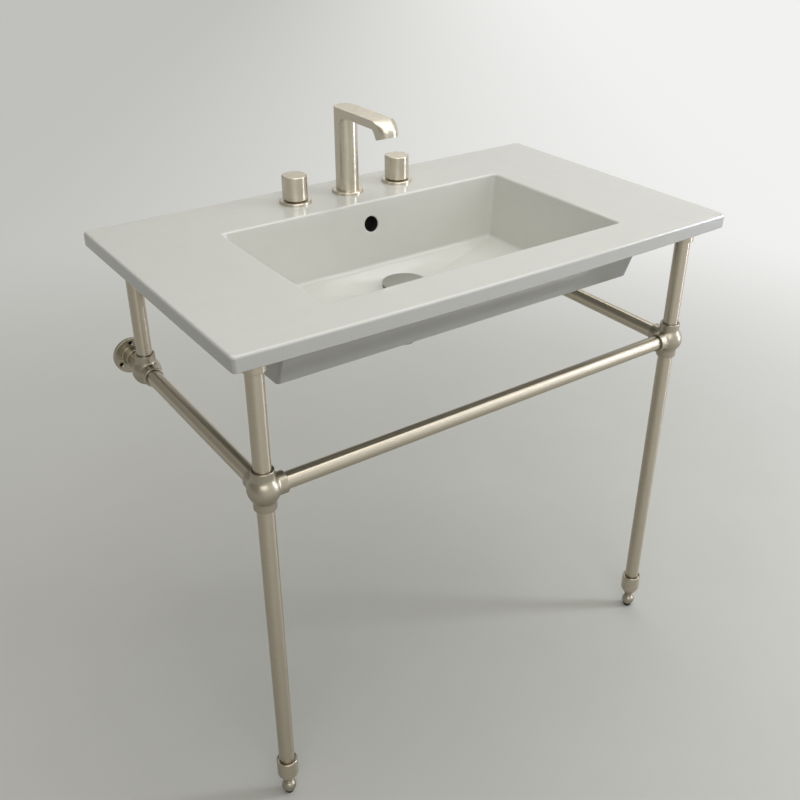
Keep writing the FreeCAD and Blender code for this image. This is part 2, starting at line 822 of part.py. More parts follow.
fixed_discs = []
for side, sign, inward in SIDES:
    x = sign * handle_x

    handle = doc.addObject("PartDesign::Body", side + "_handle_body")
    section = sketch_on(handle, "XY_Plane", side + "_handle_section", handle_bottom)
    draw(section, flatted_round(size.handle_diameter, size.handle_flat_width, 0))
    pad(handle, side + "_handle_knob", section, size.handle_height)
    fillet(handle, side + "_handle_top", size.handle_edge, at_height(handle_bottom + size.handle_height))
    cavity = sketch_on(handle, "XY_Plane", side + "_handle_cavity_outline", handle_bottom)
    draw_circle(cavity, size.handle_cavity_diameter, 0, 0)
    pocket(handle, side + "_handle_cavity", cavity, size.handle_cavity_depth, upwards=True)
    socket = sketch_on(handle, "XY_Plane", side + "_handle_socket_outline", handle_bottom)
    draw_circle(socket, stem_socket, 0, 0)
    pocket(handle, side + "_handle_socket", socket, size.handle_socket_depth, upwards=True)
    place(handle, (x, tap_y, 0))
    screw_start = (x, tap_y + size.stem_diameter / 2 + size.slip_fit, handle_screw_z)
    screw_hole = cylinder(
        side + "_handle_screw_hole",
        size.handle_screw_diameter + 2 * size.slip_fit,
        size.handle_diameter / 2,
        screw_start,
        BACK,
    )
    node(cut(side + "_handle", handle, [screw_hole]))
    node(
        cylinder(
            side + "_handle_screw",
            size.handle_screw_diameter,
            size.handle_screw_length,
            screw_start,
            BACK,
        )
    )
    node(turned(side + "_handle_ring", ring_profile_rounded, (x, tap_y, rim)))

    valve = turned(
        side + "_valve_turning",
        (
            (size.valve_water_bore / 2, inlet_bottom),
            (size.valve_inlet_diameter / 2, inlet_bottom),
            (size.valve_inlet_diameter / 2, valve_bottom),
            (valve_radius, valve_bottom),
            (valve_radius, valve_top),
            (cartridge_bore / 2, valve_top),
            (cartridge_bore / 2, cartridge_bottom),
            (size.valve_water_bore / 2, cartridge_bottom),
        ),
        (x, tap_y, 0),
    )
    outlet = cylinder(
        side + "_valve_outlet", link_bore, size.tap_shank_diameter, (x, tap_y, link_z), inward
    )
    node(cut(side + "_valve_body", valve, [outlet]))
    cartridge = turned(
        side + "_cartridge_turning",
        (
            (size.cartridge_chamber_diameter / 2, cartridge_bottom),
            (size.cartridge_diameter / 2, cartridge_bottom),
            (size.cartridge_diameter / 2, cartridge_top),
            (stem_socket / 2, cartridge_top),
            (stem_socket / 2, chamber_top),
            (size.cartridge_chamber_diameter / 2, chamber_top),
        ),
        (x, tap_y, 0),
    )
    window = cylinder(
        side + "_cartridge_window", link_bore, size.cartridge_diameter, (x, tap_y, link_z), inward
    )
    node(cut(side + "_cartridge", cartridge, [window]))

    # The ports of the two discs meet when the handle is a quarter turn open.
    disc = cylinder(
        side + "_fixed_disc_blank",
        size.cartridge_chamber_diameter - 2 * size.slip_fit,
        size.fixed_disc_thickness,
        (x, tap_y, cartridge_bottom),
    )
    fixed_port = cylinder(
        side + "_fixed_port",
        size.disc_port_diameter,
        size.fixed_disc_thickness,
        along_from((x, tap_y, cartridge_bottom), BACK, size.disc_port_offset),
    )
    fixed_discs.append(cut(side + "_fixed_disc", disc, [fixed_port]))
    stem = turned(
        side + "_valve_stem_turning",
        (
            (0, moving_disc_bottom),
            (disc_diameter / 2, moving_disc_bottom),
            (disc_diameter / 2, moving_disc_top),
            (size.stem_diameter / 2, moving_disc_top),
            (size.stem_diameter / 2, stem_top),
            (0, stem_top),
        ),
        (x, tap_y, 0),
    )
    moving_port = cylinder(
        side + "_moving_port",
        size.disc_port_diameter,
        size.moving_disc_thickness,
        along_from((x, tap_y, moving_disc_bottom), inward, size.disc_port_offset),
    )
    node(cut(side + "_valve_stem", stem, [moving_port]))

    tube_start = size.tee_diameter / 2 - size.link_tube_engagement
    tube_end = handle_x - valve_radius + size.link_tube_engagement
    node(
        turned(
            side + "_link_tube",
            ring_profile(
                size.link_tube_diameter - 2 * size.link_tube_wall,
                size.link_tube_diameter,
                tube_start,
                tube_end,
            ),
            (0, tap_y, link_z),
            -inward,
        )
    )
node(group("fixed_discs", fixed_discs))

washers = []
locknuts = []
washer_bottom = slab_bottom - size.deck_washer_thickness
for name, x in (("left", -handle_x), ("middle", 0), ("right", handle_x)):
    washers.append(
        turned(
            name + "_deck_washer",
            ring_profile(shank_hole, size.deck_washer_diameter, 0, size.deck_washer_thickness),
            (x, tap_y, washer_bottom),
        )
    )
    nut_at = (x, tap_y, washer_bottom - size.deck_nut_thickness)
    blank = hexagon(name + "_deck_nut_blank", size.deck_nut_across_flats, size.deck_nut_thickness, nut_at)
    bore = cylinder(name + "_deck_nut_bore", shank_hole, size.deck_nut_thickness, nut_at)
    locknuts.append(cut(name + "_deck_nut", blank, [bore]))
node(group("deck_washers", washers))
node(group("deck_locknuts", locknuts))

# Waste and stopper

flange_bottom = drain_seat + size.drain_gasket_thickness
flange_top = flange_bottom + size.drain_flange_thickness
barrel_radius = size.drain_barrel_diameter / 2
barrel_bore = size.drain_barrel_bore / 2
barrel_bottom = flange_bottom - size.drain_barrel_length
tail_socket = size.tailpiece_diameter / 2 - size.tailpiece_shoulder
tail_top = barrel_bottom + size.drain_socket_depth
barrel = turned(
    "drain_barrel",
    (
        (tail_socket, barrel_bottom),
        (barrel_radius, barrel_bottom),
        (barrel_radius, flange_bottom),
        (size.drain_flange_diameter / 2, flange_bottom),
        (size.drain_flange_diameter / 2, flange_top),
        (size.drain_cone_diameter / 2, flange_top),
        (barrel_bore, flange_top - size.drain_cone_depth),
        (barrel_bore, tail_top),
        (tail_socket, tail_top),
    ),
    (0, drain_y, 0),
)
port_z = duct_bottom + size.overflow_channel_depth / 2
ports = cylinder(
    "drain_ports",
    size.drain_port_diameter,
    size.drain_barrel_diameter,
    (0, drain_y - barrel_radius, port_z),
    BACK,
)
node(cut("drain_body", barrel, [ports]))

barrel_hole = size.drain_barrel_diameter + 2 * size.slip_fit
node(
    turned(
        "drain_gasket",
        ring_profile(
            barrel_hole, size.drain_flange_diameter - 2 * size.free_gap, drain_seat, flange_bottom
        ),
        (0, drain_y, 0),
    )
)
lower_gasket_bottom = boss_bottom - size.drain_lower_gasket_thickness
node(
    turned(
        "drain_lower_gasket",
        ring_profile(barrel_hole, size.drain_washer_diameter, lower_gasket_bottom, boss_bottom),
        (0, drain_y, 0),
    )
)
drain_nut_at = (0, drain_y, lower_gasket_bottom - size.drain_nut_thickness)
drain_nut_blank = hexagon(
    "drain_nut_blank", size.drain_nut_across_flats, size.drain_nut_thickness, drain_nut_at
)
drain_nut_bore = cylinder("drain_nut_bore", barrel_hole, size.drain_nut_thickness, drain_nut_at)
node(cut("drain_locknut", drain_nut_blank, [drain_nut_bore]))
tail_bore = size.tailpiece_diameter / 2 - size.tailpiece_wall
tail_bottom = barrel_bottom - size.tailpiece_length
node(
    turned(
        "tailpiece",
        (
            (tail_bore, tail_bottom),
            (size.tailpiece_diameter / 2, tail_bottom),
            (size.tailpiece_diameter / 2, barrel_bottom),
            (tail_socket - size.slip_fit, barrel_bottom),
            (tail_socket - size.slip_fit, tail_top),
            (tail_bore, tail_top),
        ),
        (0, drain_y, 0),
    )
)

guide_top = flange_top - size.guide_depth
guide_bottom = guide_top - size.guide_hub_length
web_half = barrel_bore
web_edge = size.guide_web_thickness / 2
guide_hub = cylinder("guide_hub", size.guide_hub_diameter, size.guide_hub_length, (0, drain_y, guide_bottom))
guide_webs = [
    block(
        "guide_web_across",
        2 * web_half,
        size.guide_web_thickness,
        size.guide_hub_length,
        (-web_half, drain_y - web_edge, guide_bottom),
    ),
    block(
        "guide_web_along",
        size.guide_web_thickness,
        2 * web_half,
        size.guide_hub_length,
        (-web_edge, drain_y - web_half, guide_bottom),
    ),
]
guide_limit = doc.addObject("Part::Common", "guide_cross")
guide_limit.Base = fuse("guide_star", [guide_hub] + guide_webs)
guide_limit.Tool = cylinder(
    "guide_round",
    size.drain_barrel_bore - 2 * size.slip_fit,
    size.guide_hub_length,
    (0, drain_y, guide_bottom),
)
plunger_hole = cylinder(
    "guide_bore",
    size.plunger_diameter + 2 * size.slip_fit,
    size.guide_hub_length,
    (0, drain_y, guide_bottom),
)
node(cut("drain_guide", guide_limit, [plunger_hole]))

stopper_bottom = flange_top + size.stopper_lift
stopper_top = stopper_bottom + size.stopper_thickness
stopper_radius = size.stopper_diameter / 2
boss_end = stopper_bottom - size.stopper_boss_length
tenon_hole = size.plunger_tenon_diameter / 2 + size.slip_fit
tenon_top = boss_end + size.plunger_tenon_length
dome_radius = (stopper_radius * stopper_radius + size.stopper_dome * size.stopper_dome) / (
    2 * size.stopper_dome
)
node(
    turned(
        "stopper_cap",
        (
            (tenon_hole, boss_end),
            (size.stopper_boss_diameter / 2, boss_end),
            (size.stopper_boss_diameter / 2, stopper_bottom),
            (stopper_radius, stopper_bottom),
            (stopper_radius, stopper_top - size.stopper_dome, dome_radius, 1),
            (0, stopper_top),
            (0, tenon_top),
            (tenon_hole, tenon_top),
        ),
        (0, drain_y, 0),
    )
)
plunger_bottom = boss_end - size.plunger_length
node(
    turned(
        "stopper_plunger",
        (
            (0, plunger_bottom),
            (size.plunger_diameter / 2, plunger_bottom),
            (size.plunger_diameter / 2, boss_end),
            (size.plunger_tenon_diameter / 2, boss_end),
            (size.plunger_tenon_diameter / 2, tenon_top),
            (0, tenon_top),
        ),
        (0, drain_y, 0),
    )
)
node(
    turned(
        "stopper_seal",
        ring_profile(
            size.stopper_seal_inside,
            size.stopper_seal_outside,
            stopper_bottom - size.stopper_seal_thickness,
            stopper_bottom,
        ),
        (0, drain_y, 0),
    )
)

# Stand

set_screws = []


def set_screw(name, at, outward):
    """A grub screw from the tube at a point of a socket's axis out to the socket's face."""
    start = along_from(at, outward, tube_socket / 2)
    length = (size.socket_diameter - tube_socket) / 2
    set_screws.append(cylinder(name, size.set_screw_diameter, length, start, outward))
    return cylinder(name + "_hole", size.set_screw_diameter + 2 * size.slip_fit, 2 * length, start, outward)


def ball_fitting(label, centre, sockets, spigot=None):
    """A ball with a tube socket along each direction, and a screw in each socket's wall."""
    solids = [ball(label + "_ball", size.ball_diameter, centre)]
    holes = []
    for number, (direction, screw_side) in enumerate(sockets, start=1):
        name = "%s_socket_%d" % (label, number)
        solids.append(cylinder(name, size.socket_diameter, size.socket_reach, centre, direction))
        seat = along_from(centre, direction, size.socket_seat)
        holes.append(cylinder(name + "_bore", tube_socket, size.socket_reach, seat, direction))
        mouth = along_from(centre, direction, size.socket_reach - size.socket_mouth_depth)
        holes.append(
            cylinder(name + "_mouth", size.socket_mouth_diameter, size.socket_mouth_depth, mouth, direction)
        )
        screw_at = along_from(centre, direction, size.set_screw_reach)
        holes.append(set_screw(name + "_screw", screw_at, screw_side))
    if spigot is not None:
        solids.append(spigot)
    return cut(label, fuse(label + "_blank", solids), holes)


def tube(label, at, along, length):
    return node(turned(label, ring_profile(tube_bore, size.tube_diameter, 0, length), at, along))


def post_collar(name, x, y):
    """A capped socket over the top of a post, under the slab."""
    mouth_bottom = post_top + size.collar_cap - size.collar_height
    mouth_top = mouth_bottom + size.socket_mouth_depth
    return turned(
        name,
        (
            (size.socket_mouth_diameter / 2, mouth_bottom),
            (size.socket_diameter / 2, mouth_bottom),
            (size.socket_diameter / 2, post_top + size.collar_cap),
            (0, post_top + size.collar_cap),
            (0, post_top),
            (tube_socket / 2, post_top),
            (tube_socket / 2, mouth_top),
            (size.socket_mouth_diameter / 2, mouth_top),
        ),
        (x, y, 0),
    )


foot_radius = size.foot_collar_diameter / 2
stud_hole = size.foot_stud_diameter / 2 + size.slip_fit
foot_taper_top = size.foot_collar_bottom + size.foot_collar_taper
foot_mouth = size.foot_collar_top - size.socket_mouth_depth
spigot_length = size.rear_post_from_wall - size.spigot_seat
rail_length = rear_y - front_y - 2 * size.socket_seat
hub_screw_y = wall - size.flange_hub_length + size.socket_mouth_depth + size.set_screw_diameter

front_collars = []
rear_collars = []
post_pads = []
for side, sign, inward in SIDES:
    x = sign * leg_x
    corner = (x, front_y, rail_z)
    rear = (x, rear_y, rail_z)

    node(
        ball_fitting(
            side + "_corner_fitting",
            corner,
            ((UP, BACK), (DOWN, BACK), (BACK, DOWN), (inward, DOWN)),
        )
    )
    spigot = cylinder(side + "_spigot", size.tube_diameter, spigot_length, rear, BACK)
    node(ball_fitting(side + "_rear_fitting", rear, ((UP, BACK), (FRONT, DOWN)), spigot))

    seat = rail_z + size.socket_seat
    tube(side + "_front_post", (x, front_y, seat), UP, post_top - seat)
    tube(side + "_rear_post", (x, rear_y, seat), UP, post_top - seat)
    leg_length = rail_z - size.socket_seat - size.foot_collar_seat
    tube(side + "_front_leg", (x, front_y, size.foot_collar_seat), UP, leg_length)
    tube(side + "_side_rail", along_from(corner, BACK, size.socket_seat), BACK, rail_length)

    flange = turned(
        side + "_wall_flange_turning",
        (
            (0, 0),
            (size.flange_diameter / 2, 0),
            (size.flange_diameter / 2, size.flange_thickness - size.flange_edge, size.flange_edge, 1),
            (size.flange_diameter / 2 - size.flange_edge, size.flange_thickness),
            (size.socket_diameter / 2, size.flange_thickness),
            (size.socket_diameter / 2, size.flange_hub_length),
            (tube_socket / 2, size.flange_hub_length),
            (tube_socket / 2, size.spigot_seat),
            (0, size.spigot_seat),
        ),
        (x, wall, rail_z),
        FRONT,
    )
    flange_holes = [set_screw(side + "_flange_screw", (x, hub_screw_y, rail_z), UP)]
    screw_radius = size.flange_screw_circle / 2
    sink_depth = (size.flange_countersink - size.flange_screw_hole) / 2
    for number, angle in enumerate(FLANGE_SCREW_ANGLES):
        hole_at = (
            x + screw_radius * math.cos(angle),
            wall - size.flange_thickness,
            rail_z + screw_radius * math.sin(angle),
        )
        name = "%s_flange_hole_%d" % (side, number)
        flange_holes.append(cylinder(name, size.flange_screw_hole, size.flange_thickness, hole_at, BACK))
        flange_holes.append(
            cone(
                name + "_countersink",
                size.flange_countersink,
                size.flange_screw_hole,
                sink_depth,
                hole_at,
                BACK,
            )
        )
    node(cut(side + "_wall_flange", flange, flange_holes))

    front_collars.append(post_collar(side + "_front_collar", x, front_y))
    rear_collars.append(post_collar(side + "_rear_collar", x, rear_y))
    for end, y in (("front", front_y), ("rear", rear_y)):
        post_pads.append(
            cylinder(
                "%s_%s_post_pad" % (side, end),
                size.post_pad_diameter,
                size.post_pad_thickness,
                (x, y, slab_bottom - size.post_pad_thickness),
            )
        )

    node(
        turned(
            side + "_foot_collar",
            (
                (stud_hole, size.foot_collar_bottom),
                (size.foot_collar_tip_diameter / 2, size.foot_collar_bottom),
                (foot_radius, foot_taper_top),
                (foot_radius, size.foot_collar_top),
                (size.socket_mouth_diameter / 2, size.foot_collar_top),
                (size.socket_mouth_diameter / 2, foot_mouth),
                (tube_socket / 2, foot_mouth),
                (tube_socket / 2, size.foot_collar_seat),
                (stud_hole, size.foot_collar_seat),
            ),
            (x, front_y, 0),
        )
    )
    foot_centre = (x, front_y, size.foot_ball_height)
    stud_length = size.foot_stud_top - size.foot_ball_height
    node(
        fuse(
            side + "_levelling_foot",
            [
                ball(side + "_foot_ball", size.foot_ball_diameter, foot_centre),
                cylinder(side + "_foot_stud", size.foot_stud_diameter, stud_length, foot_centre),
            ],
        )
    )
    glide_blank = cylinder(side + "_glide_blank", size.glide_diameter, size.glide_height, (x, front_y, 0))
    glide_dish = ball(side + "_glide_dish", size.foot_ball_diameter + 2 * size.free_gap, foot_centre)
    node(cut(side + "_foot_glide", glide_blank, [glide_dish]))

crossbar_seat = leg_x - size.socket_seat
tube("front_crossbar", (-crossbar_seat, front_y, rail_z), RIGHT, 2 * crossbar_seat)
node(group("front_post_collars", front_collars))
node(group("rear_post_collars", rear_collars))
node(group("post_pads", post_pads))
node(group("set_screws", set_screws))

doc.recompute()

for item in doc.Objects:
    if "Invalid" in item.State or "Error" in item.State:
        raise RuntimeError("%s did not rebuild: %s" % (item.Label, item.State))
for item in nodes:
    if item.Shape.isNull() or not item.Shape.isValid():
        raise RuntimeError("%s has no valid shape" % item.Label)

os.makedirs("parts", exist_ok=True)
for item in nodes:
    item.Shape.exportStep(os.path.join("parts", item.Label + ".step"))
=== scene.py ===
import math

import bmesh
import bpy
from mathutils import Matrix, Vector


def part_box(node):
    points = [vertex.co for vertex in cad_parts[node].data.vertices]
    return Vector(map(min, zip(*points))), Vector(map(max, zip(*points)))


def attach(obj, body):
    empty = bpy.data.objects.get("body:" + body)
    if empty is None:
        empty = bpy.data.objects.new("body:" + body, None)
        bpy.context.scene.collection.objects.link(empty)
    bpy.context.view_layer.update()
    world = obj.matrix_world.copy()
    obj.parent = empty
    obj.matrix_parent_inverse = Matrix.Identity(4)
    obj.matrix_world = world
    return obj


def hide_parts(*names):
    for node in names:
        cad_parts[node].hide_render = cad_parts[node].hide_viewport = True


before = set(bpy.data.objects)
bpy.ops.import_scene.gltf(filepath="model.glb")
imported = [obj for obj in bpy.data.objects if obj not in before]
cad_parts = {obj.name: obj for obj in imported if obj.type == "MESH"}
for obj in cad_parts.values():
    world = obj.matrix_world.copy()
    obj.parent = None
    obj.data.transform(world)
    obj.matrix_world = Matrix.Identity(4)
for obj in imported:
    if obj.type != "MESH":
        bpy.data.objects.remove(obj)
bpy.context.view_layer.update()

bl_info = {
    "name": "Console Bathroom Sink",
    "version": (1, 0, 0),
    "blender": (4, 5, 0),
    "location": "View3D > Sidebar > Sink",
    "description": "Dresses a slab sink on a tube stand: basin, tap, waste, stand and studio",
    "category": "Object",
}

MM = 0.001
X_AXIS = Vector((1, 0, 0))
Y_AXIS = Vector((0, 1, 0))
Z_AXIS = Vector((0, 0, 1))
SIDES = ("left", "right")
TAP_RINGS = ("spout_ring", "left_handle_ring", "right_handle_ring")
FLANGE_HOLE_ANGLES = (90, 210, 330)
QUARTER = math.pi / 2
MERGE_DISTANCE = 0.002 * MM
CUT_PAST = 10 * MM
HOLE_PAST = 1 * MM

# How finely curves are divided
TURN_STEPS = 72
HOLE_STEPS = 32
BALL_STEPS = 36
FOOT_BALL_STEPS = 30
ROUND_STEPS = 6
OUTLINE_CORNER_STEPS = 7
OUTLINE_SIDE_STEPS = 20
BOWL_FLOOR_STEPS = 14
SPOUT_SLICES = 24
ARM_TOP_STEPS = 6
ARM_UNDER_STEPS = 4
NOSE_STEPS = 10
SLOPE_STEPS = 8
ARCH_STEPS = 10
KNOB_STEPS = 30
DOME_STEPS = 10
BEVEL_STEPS = 3
SCREW_SIDES = 24
HEX_SIDES = 6
THREAD_STEPS = 40
SMOOTH_ANGLE = math.radians(32)

# Shapes of single curves: exponents, shares of a radius, and degrees from a ball's middle
BOWL_FLOOR_CURVE = 1.15
NOSE_SLOPE_CURVE = 1.6
DOME_RIM = 0.96
SOCKET_ROOT = 0.9
BALL_POLE = 87
FOOT_BALL_POLE = 86

PHOTO_LENS = 43.71
PHOTO_SENSOR = 36.0
CAMERA_PLACE = Vector((-0.8469, -1.1841, 1.3541))
CAMERA_DIP = 0.526
CAMERA_SWING = -0.607
CAMERA_FAR = 100

BACKDROP_DIM = "#9C9C97"
BACKDROP_BRIGHT = "#F2F2F0"
BACKDROP_DIM_AT = -0.6
BACKDROP_BRIGHT_AT = 0.7
BRIGHT_SIDE = Vector((0.8, -0.6, 0.1))
FILL_LIGHT = 0.2
FADE_START = 0.6
FADE_END = 2.6
FLOOR_REACH = 30
FLOOR_DIM = "#C0C0BC"
FLOOR_BOUNCE = "#90908C"
FLOOR_BRIGHT_SIDE = Vector((0.82, -0.57, 0.0))
FLOOR_DIM_AT = -2.0
FLOOR_BRIGHT_AT = 1.8

# Name, place, target, size, watts and tint of each lamp
LAMPS = (
    ("overhead_softbox", (0.5, 0.05, 2.9), (0, 0, 0.8), (3.4, 2.6), 45, "#FFFFFF"),
    ("right_strip", (2.2, -1.4, 1.2), (0, 0, 0.6), (0.4, 2.2), 32, "#EAF0FF"),
    ("front_softbox", (-1.2, -2.2, 2.5), (0, 0, 0.7), (2.0, 1.6), 22, "#FFFFFF"),
)


def linear(hex_colour):
    """An sRGB hex colour as linear red, green, blue and alpha."""
    channels = [int(hex_colour[start:start + 2], 16) / 255 for start in (1, 3, 5)]
    return tuple(
        value / 12.92 if value <= 0.04045 else ((value + 0.055) / 1.055) ** 2.4
        for value in channels
    ) + (1.0,)


def length(description, millimetres):
    return bpy.props.FloatProperty(
        description=description,
        default=millimetres * MM,
        min=0.0,
        subtype="DISTANCE",
        unit="LENGTH",
    )


def colour(description, hex_colour):
    return bpy.props.FloatVectorProperty(
        description=description,
        default=linear(hex_colour),
        size=4,
        min=0.0,
        max=1.0,
        subtype="COLOR",
    )


class SinkBasinSizes(bpy.types.PropertyGroup):
    """Sizes of the glazed basin that its bounding box doesn't give."""

    slab_thickness: length("Height of the slab's edge", 23.0)
    slab_bow: length("How far the slab's front bows out in the middle", 8.0)
    slab_corner: length("Radius of the slab's corners seen from above", 6.0)
    slab_edge: length("Radius of the slab's upper edge", 4.0)
    slab_lower_edge: length("Radius of the slab's lower edge", 2.0)
    side_ledge: length("Flat deck beside the bowl", 169.0)
    front_ledge: length("Flat deck in front of the bowl", 77.0)
    back_ledge: length("Flat deck behind the bowl", 134.0)
    bowl_depth: length("Height of the bowl's walls", 107.0)
    side_draft: length("How far the side walls lean in", 25.0)
    front_draft: length("How far the front wall leans in", 38.0)
    back_draft: length("How far the back wall leans in", 22.0)
    bowl_corner: length("Radius of the bowl's upright corners", 8.0)
    rim_edge: length("Radius of the bowl's rim", 3.5)
    floor_edge: length("Radius between the walls and the floor", 6.0)
    seat_depth: length("Depth of the drain's seat under the rim", 121.0)
    seat_radius: length("Radius of the flat seat round the drain", 42.0)
    drain_hole: length("Radius of the drain hole", 23.0)
    drain_from_back: length("Middle of the drain from the slab's back edge", 238.0)
    overflow_depth: length("Middle of the overflow hole under the rim", 37.0)
    overflow_radius: length("Radius of the overflow hole", 13.0)
    overflow_reach: length("Depth of the overflow hole behind the wall", 24.0)
    overflow_lip: length("Radius of the overflow hole's glazed edge", 2.0)
    apron_side: length("Thickness from the bowl to the apron's side", 63.0)
    apron_back: length("Thickness from the bowl to the apron's back", 28.0)
    apron_front: length("Thickness from the bowl to the apron's front", 10.0)
    apron_floor: length("Thickness under the bowl's floor", 9.0)
    apron_corner: length("Radius of the apron's upright corners", 6.0)
    apron_edge: length("Radius of the apron's lower edge", 1.5)
    pocket_wall: length("Walls round the hollows beside the bowl", 12.0)
    boss_radius: length("Radius of the boss under the drain", 44.0)
    duct_half_width: length("Half width of the overflow duct's casing", 23.0)
    tap_hole: length("Radius of the three tap holes", 17.0)


class SinkMetalSizes(bpy.types.PropertyGroup):
    """Sizes of the tap, waste and stand that their bounding boxes don't give."""

    spout_radius: length("Radius of the spout's column", 19.4)
    arm_thickness: length("Thickness of the spout's arm", 13.0)
    arch_radius: length("Radius where the arm leaves the column", 20.0)
    nose_radius: length("Height of the curve over the spout's nose", 16.0)
    nose_run: length("Length of the curve over the spout's nose", 20.0)
    nose_drop: length("Height of the spout's nose", 28.0)
    nose_length: length("Depth of the nose at its lip", 20.0)
    nose_tilt: length("How much higher the front of the lip is than its back", 6.0)
    nose_slope: length("Run of the curve from the arm to the lip", 12.0)
    spout_edge: length("Radius of the spout's edges", 0.9)
    knob_radius: length("Radius of the round parts of a knob", 21.0)
    knob_edge: length("Radius of a knob's upper edge", 1.4)
    knob_foot: length("Chamfer of a knob's lower edge", 0.4)
    knob_cavity: length("Radius of the hollow under a knob", 16.0)
    knob_cavity_depth: length("Depth of the hollow under a knob", 8.5)
    ring_edge: length("Radius of a tap ring's upper edge", 1.8)
    ring_bore: length("Radius of a tap ring's hole", 14.05)
    tube_wall: length("Wall of the stand's tubes", 1.5)
    ball_radius: length("Radius of the stand's balls", 23.5)
    socket_radius: length("Radius of the tube sockets", 16.3)
    socket_reach: length("Socket's mouth from the ball's middle", 31.0)
    socket_seat: length("Seat of the tube from the ball's middle", 16.0)
    socket_flare: length("Radius between a ball and its sockets", 9.0)
    mouth_radius: length("Radius of the step in a socket's mouth", 13.4)
    mouth_depth: length("Depth of the step in a socket's mouth", 2.0)
    socket_lip: length("Radius of a socket's outer edge", 1.2)
    collar_cap: length("Thickness of a post collar's top", 4.0)
    screw_reach: length("Set screws from the ball's middle", 22.0)
    screw_radius: length("Radius of the set screws", 2.0)
    screw_hex: length("Radius over the corners of a set screw's recess", 1.25)
    flange_edge: length("Radius of a wall flange's edge", 1.5)
    flange_fillet: length("Radius between a wall flange's plate and hub", 1.5)
    flange_thickness: length("Thickness of a wall flange's plate", 6.0)
    flange_back: length("Thickness of a wall flange behind its hub's bore", 4.0)
    flange_screw_circle: length("Radius of the circle of screw holes", 23.0)
    flange_hole: length("Radius of a wall flange's screw holes", 2.75)
    flange_sink: length("Radius of the countersinks", 4.5)
    flange_web: length("Thickness of the web in a wall flange's screw holes", 0.4)
    foot_mouth_radius: length("Radius of the step in a foot collar's mouth", 15.2)
    foot_mouth_depth: length("Depth of the step in a foot collar's mouth", 3.5)
    foot_tip: length("Radius of the foot collar's lower end", 9.5)
    foot_taper: length("Height of the foot collar's cone", 13.0)
    foot_shoulder: length("Radius between the foot collar's cylinder and cone", 5.0)
    glide_slope: length("How far a glide's side leans in at the floor", 2.5)
    glide_lower_edge: length("Radius of a glide's lower edge", 0.6)
    glide_upper_edge: length("Radius of a glide's upper edge", 0.8)
    stud_radius: length("Radius of the foot's stud over its thread", 8.0)
    stud_play: length("Gap round the foot's stud in its collar", 0.05)
    thread_pitch: length("Travel of a foot for each turn", 2.0)
    thread_depth: length("Height of the foot's thread", 0.6)
    stopper_dome: length("Rise of the stopper's top", 1.2)
    stopper_boss: length("Radius of the boss under the stopper's cap", 7.0)
    stopper_edge: length("Radius of the stopper's edge", 0.8)
    stopper_edge_drop: length("Middle of the stopper's edge under its dome", 0.3)
    stopper_undercut: length("How far the cap's underside stands back from its edge", 0.5)
    aerator_wall: length("Wall of the aerator's housing", 1.0)
    aerator_recess: length("Depth of the aerator's mesh in its housing", 1.0)
    aerator_edge: length("Radius of the aerator's lower edge", 0.4)
    cell_width: length("Width of a cell of the aerator's mesh", 1.6)
    cell_wire: length("Radius of the wire of the aerator's mesh", 0.15)


class SinkColours(bpy.types.PropertyGroup):
    """Colours of the finishes."""

    glaze: colour("White of the glaze", "#D5D4CB")
    glaze_shade: colour("Thinner glaze over the body", "#D3D2C9")
    nickel: colour("Lit grain of the stand's brushed nickel", "#C0B7A6")
    nickel_shade: colour("Dark grain of the stand's brushed nickel", "#B6AD9C")
    casting: colour("Lit grain of the stand's fittings", "#AEA696")
    casting_shade: colour("Dark grain of the stand's fittings", "#A49C8C")
    tap: colour("Lit grain of the tap's brushed nickel", "#D4CCBC")
    tap_shade: colour("Dark grain of the tap's brushed nickel", "#CAC2B2")
    drain: colour("Lit grain of the drain's nickel", "#B0AFA8")
    drain_shade: colour("Dark grain of the drain's nickel", "#A2A19A")
    floor: colour("Studio floor", "#D2D1C8")
    floor_shade: colour("Worn places of the studio floor", "#CECDC4")


# Outlines and meshes


def spaced(start, end, steps):
    return [start + (end - start) * step / steps for step in range(steps + 1)]


def arc(across, along, radius, start, end, steps=ROUND_STEPS):
    """Points of an arc about a centre, between two angles in degrees."""
    return [
        (across + radius * math.cos(angle), along + radius * math.sin(angle))
        for angle in spaced(math.radians(start), math.radians(end), steps)
    ]


def quarter_round(radius):
    """How far a rounded edge stands back, and how far it is from its end, from side to top."""
    return [
        (radius * (1 - math.cos(angle)), radius * (1 - math.sin(angle)))
        for angle in spaced(0.0, QUARTER, ROUND_STEPS)
    ]


def cylinder(radius, start, end):
    """The outline of a cylinder to turn, between two heights."""
    return [(0, start), (radius, start), (radius, end), (0, end)]


def round_corners(*corners):
    """A closed outline from corners (across, along, radius), round where a radius is given."""
    outline = []
    for index, (across, along, radius) in enumerate(corners):
        corner = Vector((across, along))
        if radius == 0:
            outline.append(tuple(corner))
            continue
        before = (Vector(corners[index - 1][:2]) - corner).normalized()
        after = (Vector(corners[(index + 1) % len(corners)][:2]) - corner).normalized()
        half = before.angle(after) / 2
        centre = corner + (before + after).normalized() * (radius / math.sin(half))
        first = corner + before * (radius / math.tan(half)) - centre
        last = corner + after * (radius / math.tan(half)) - centre
        sweep = math.atan2(first.x * last.y - first.y * last.x, first.dot(last))
        for turn in spaced(0.0, sweep, ROUND_STEPS):
            outline.append(tuple(centre + Matrix.Rotation(turn, 2) @ first))
    return outline


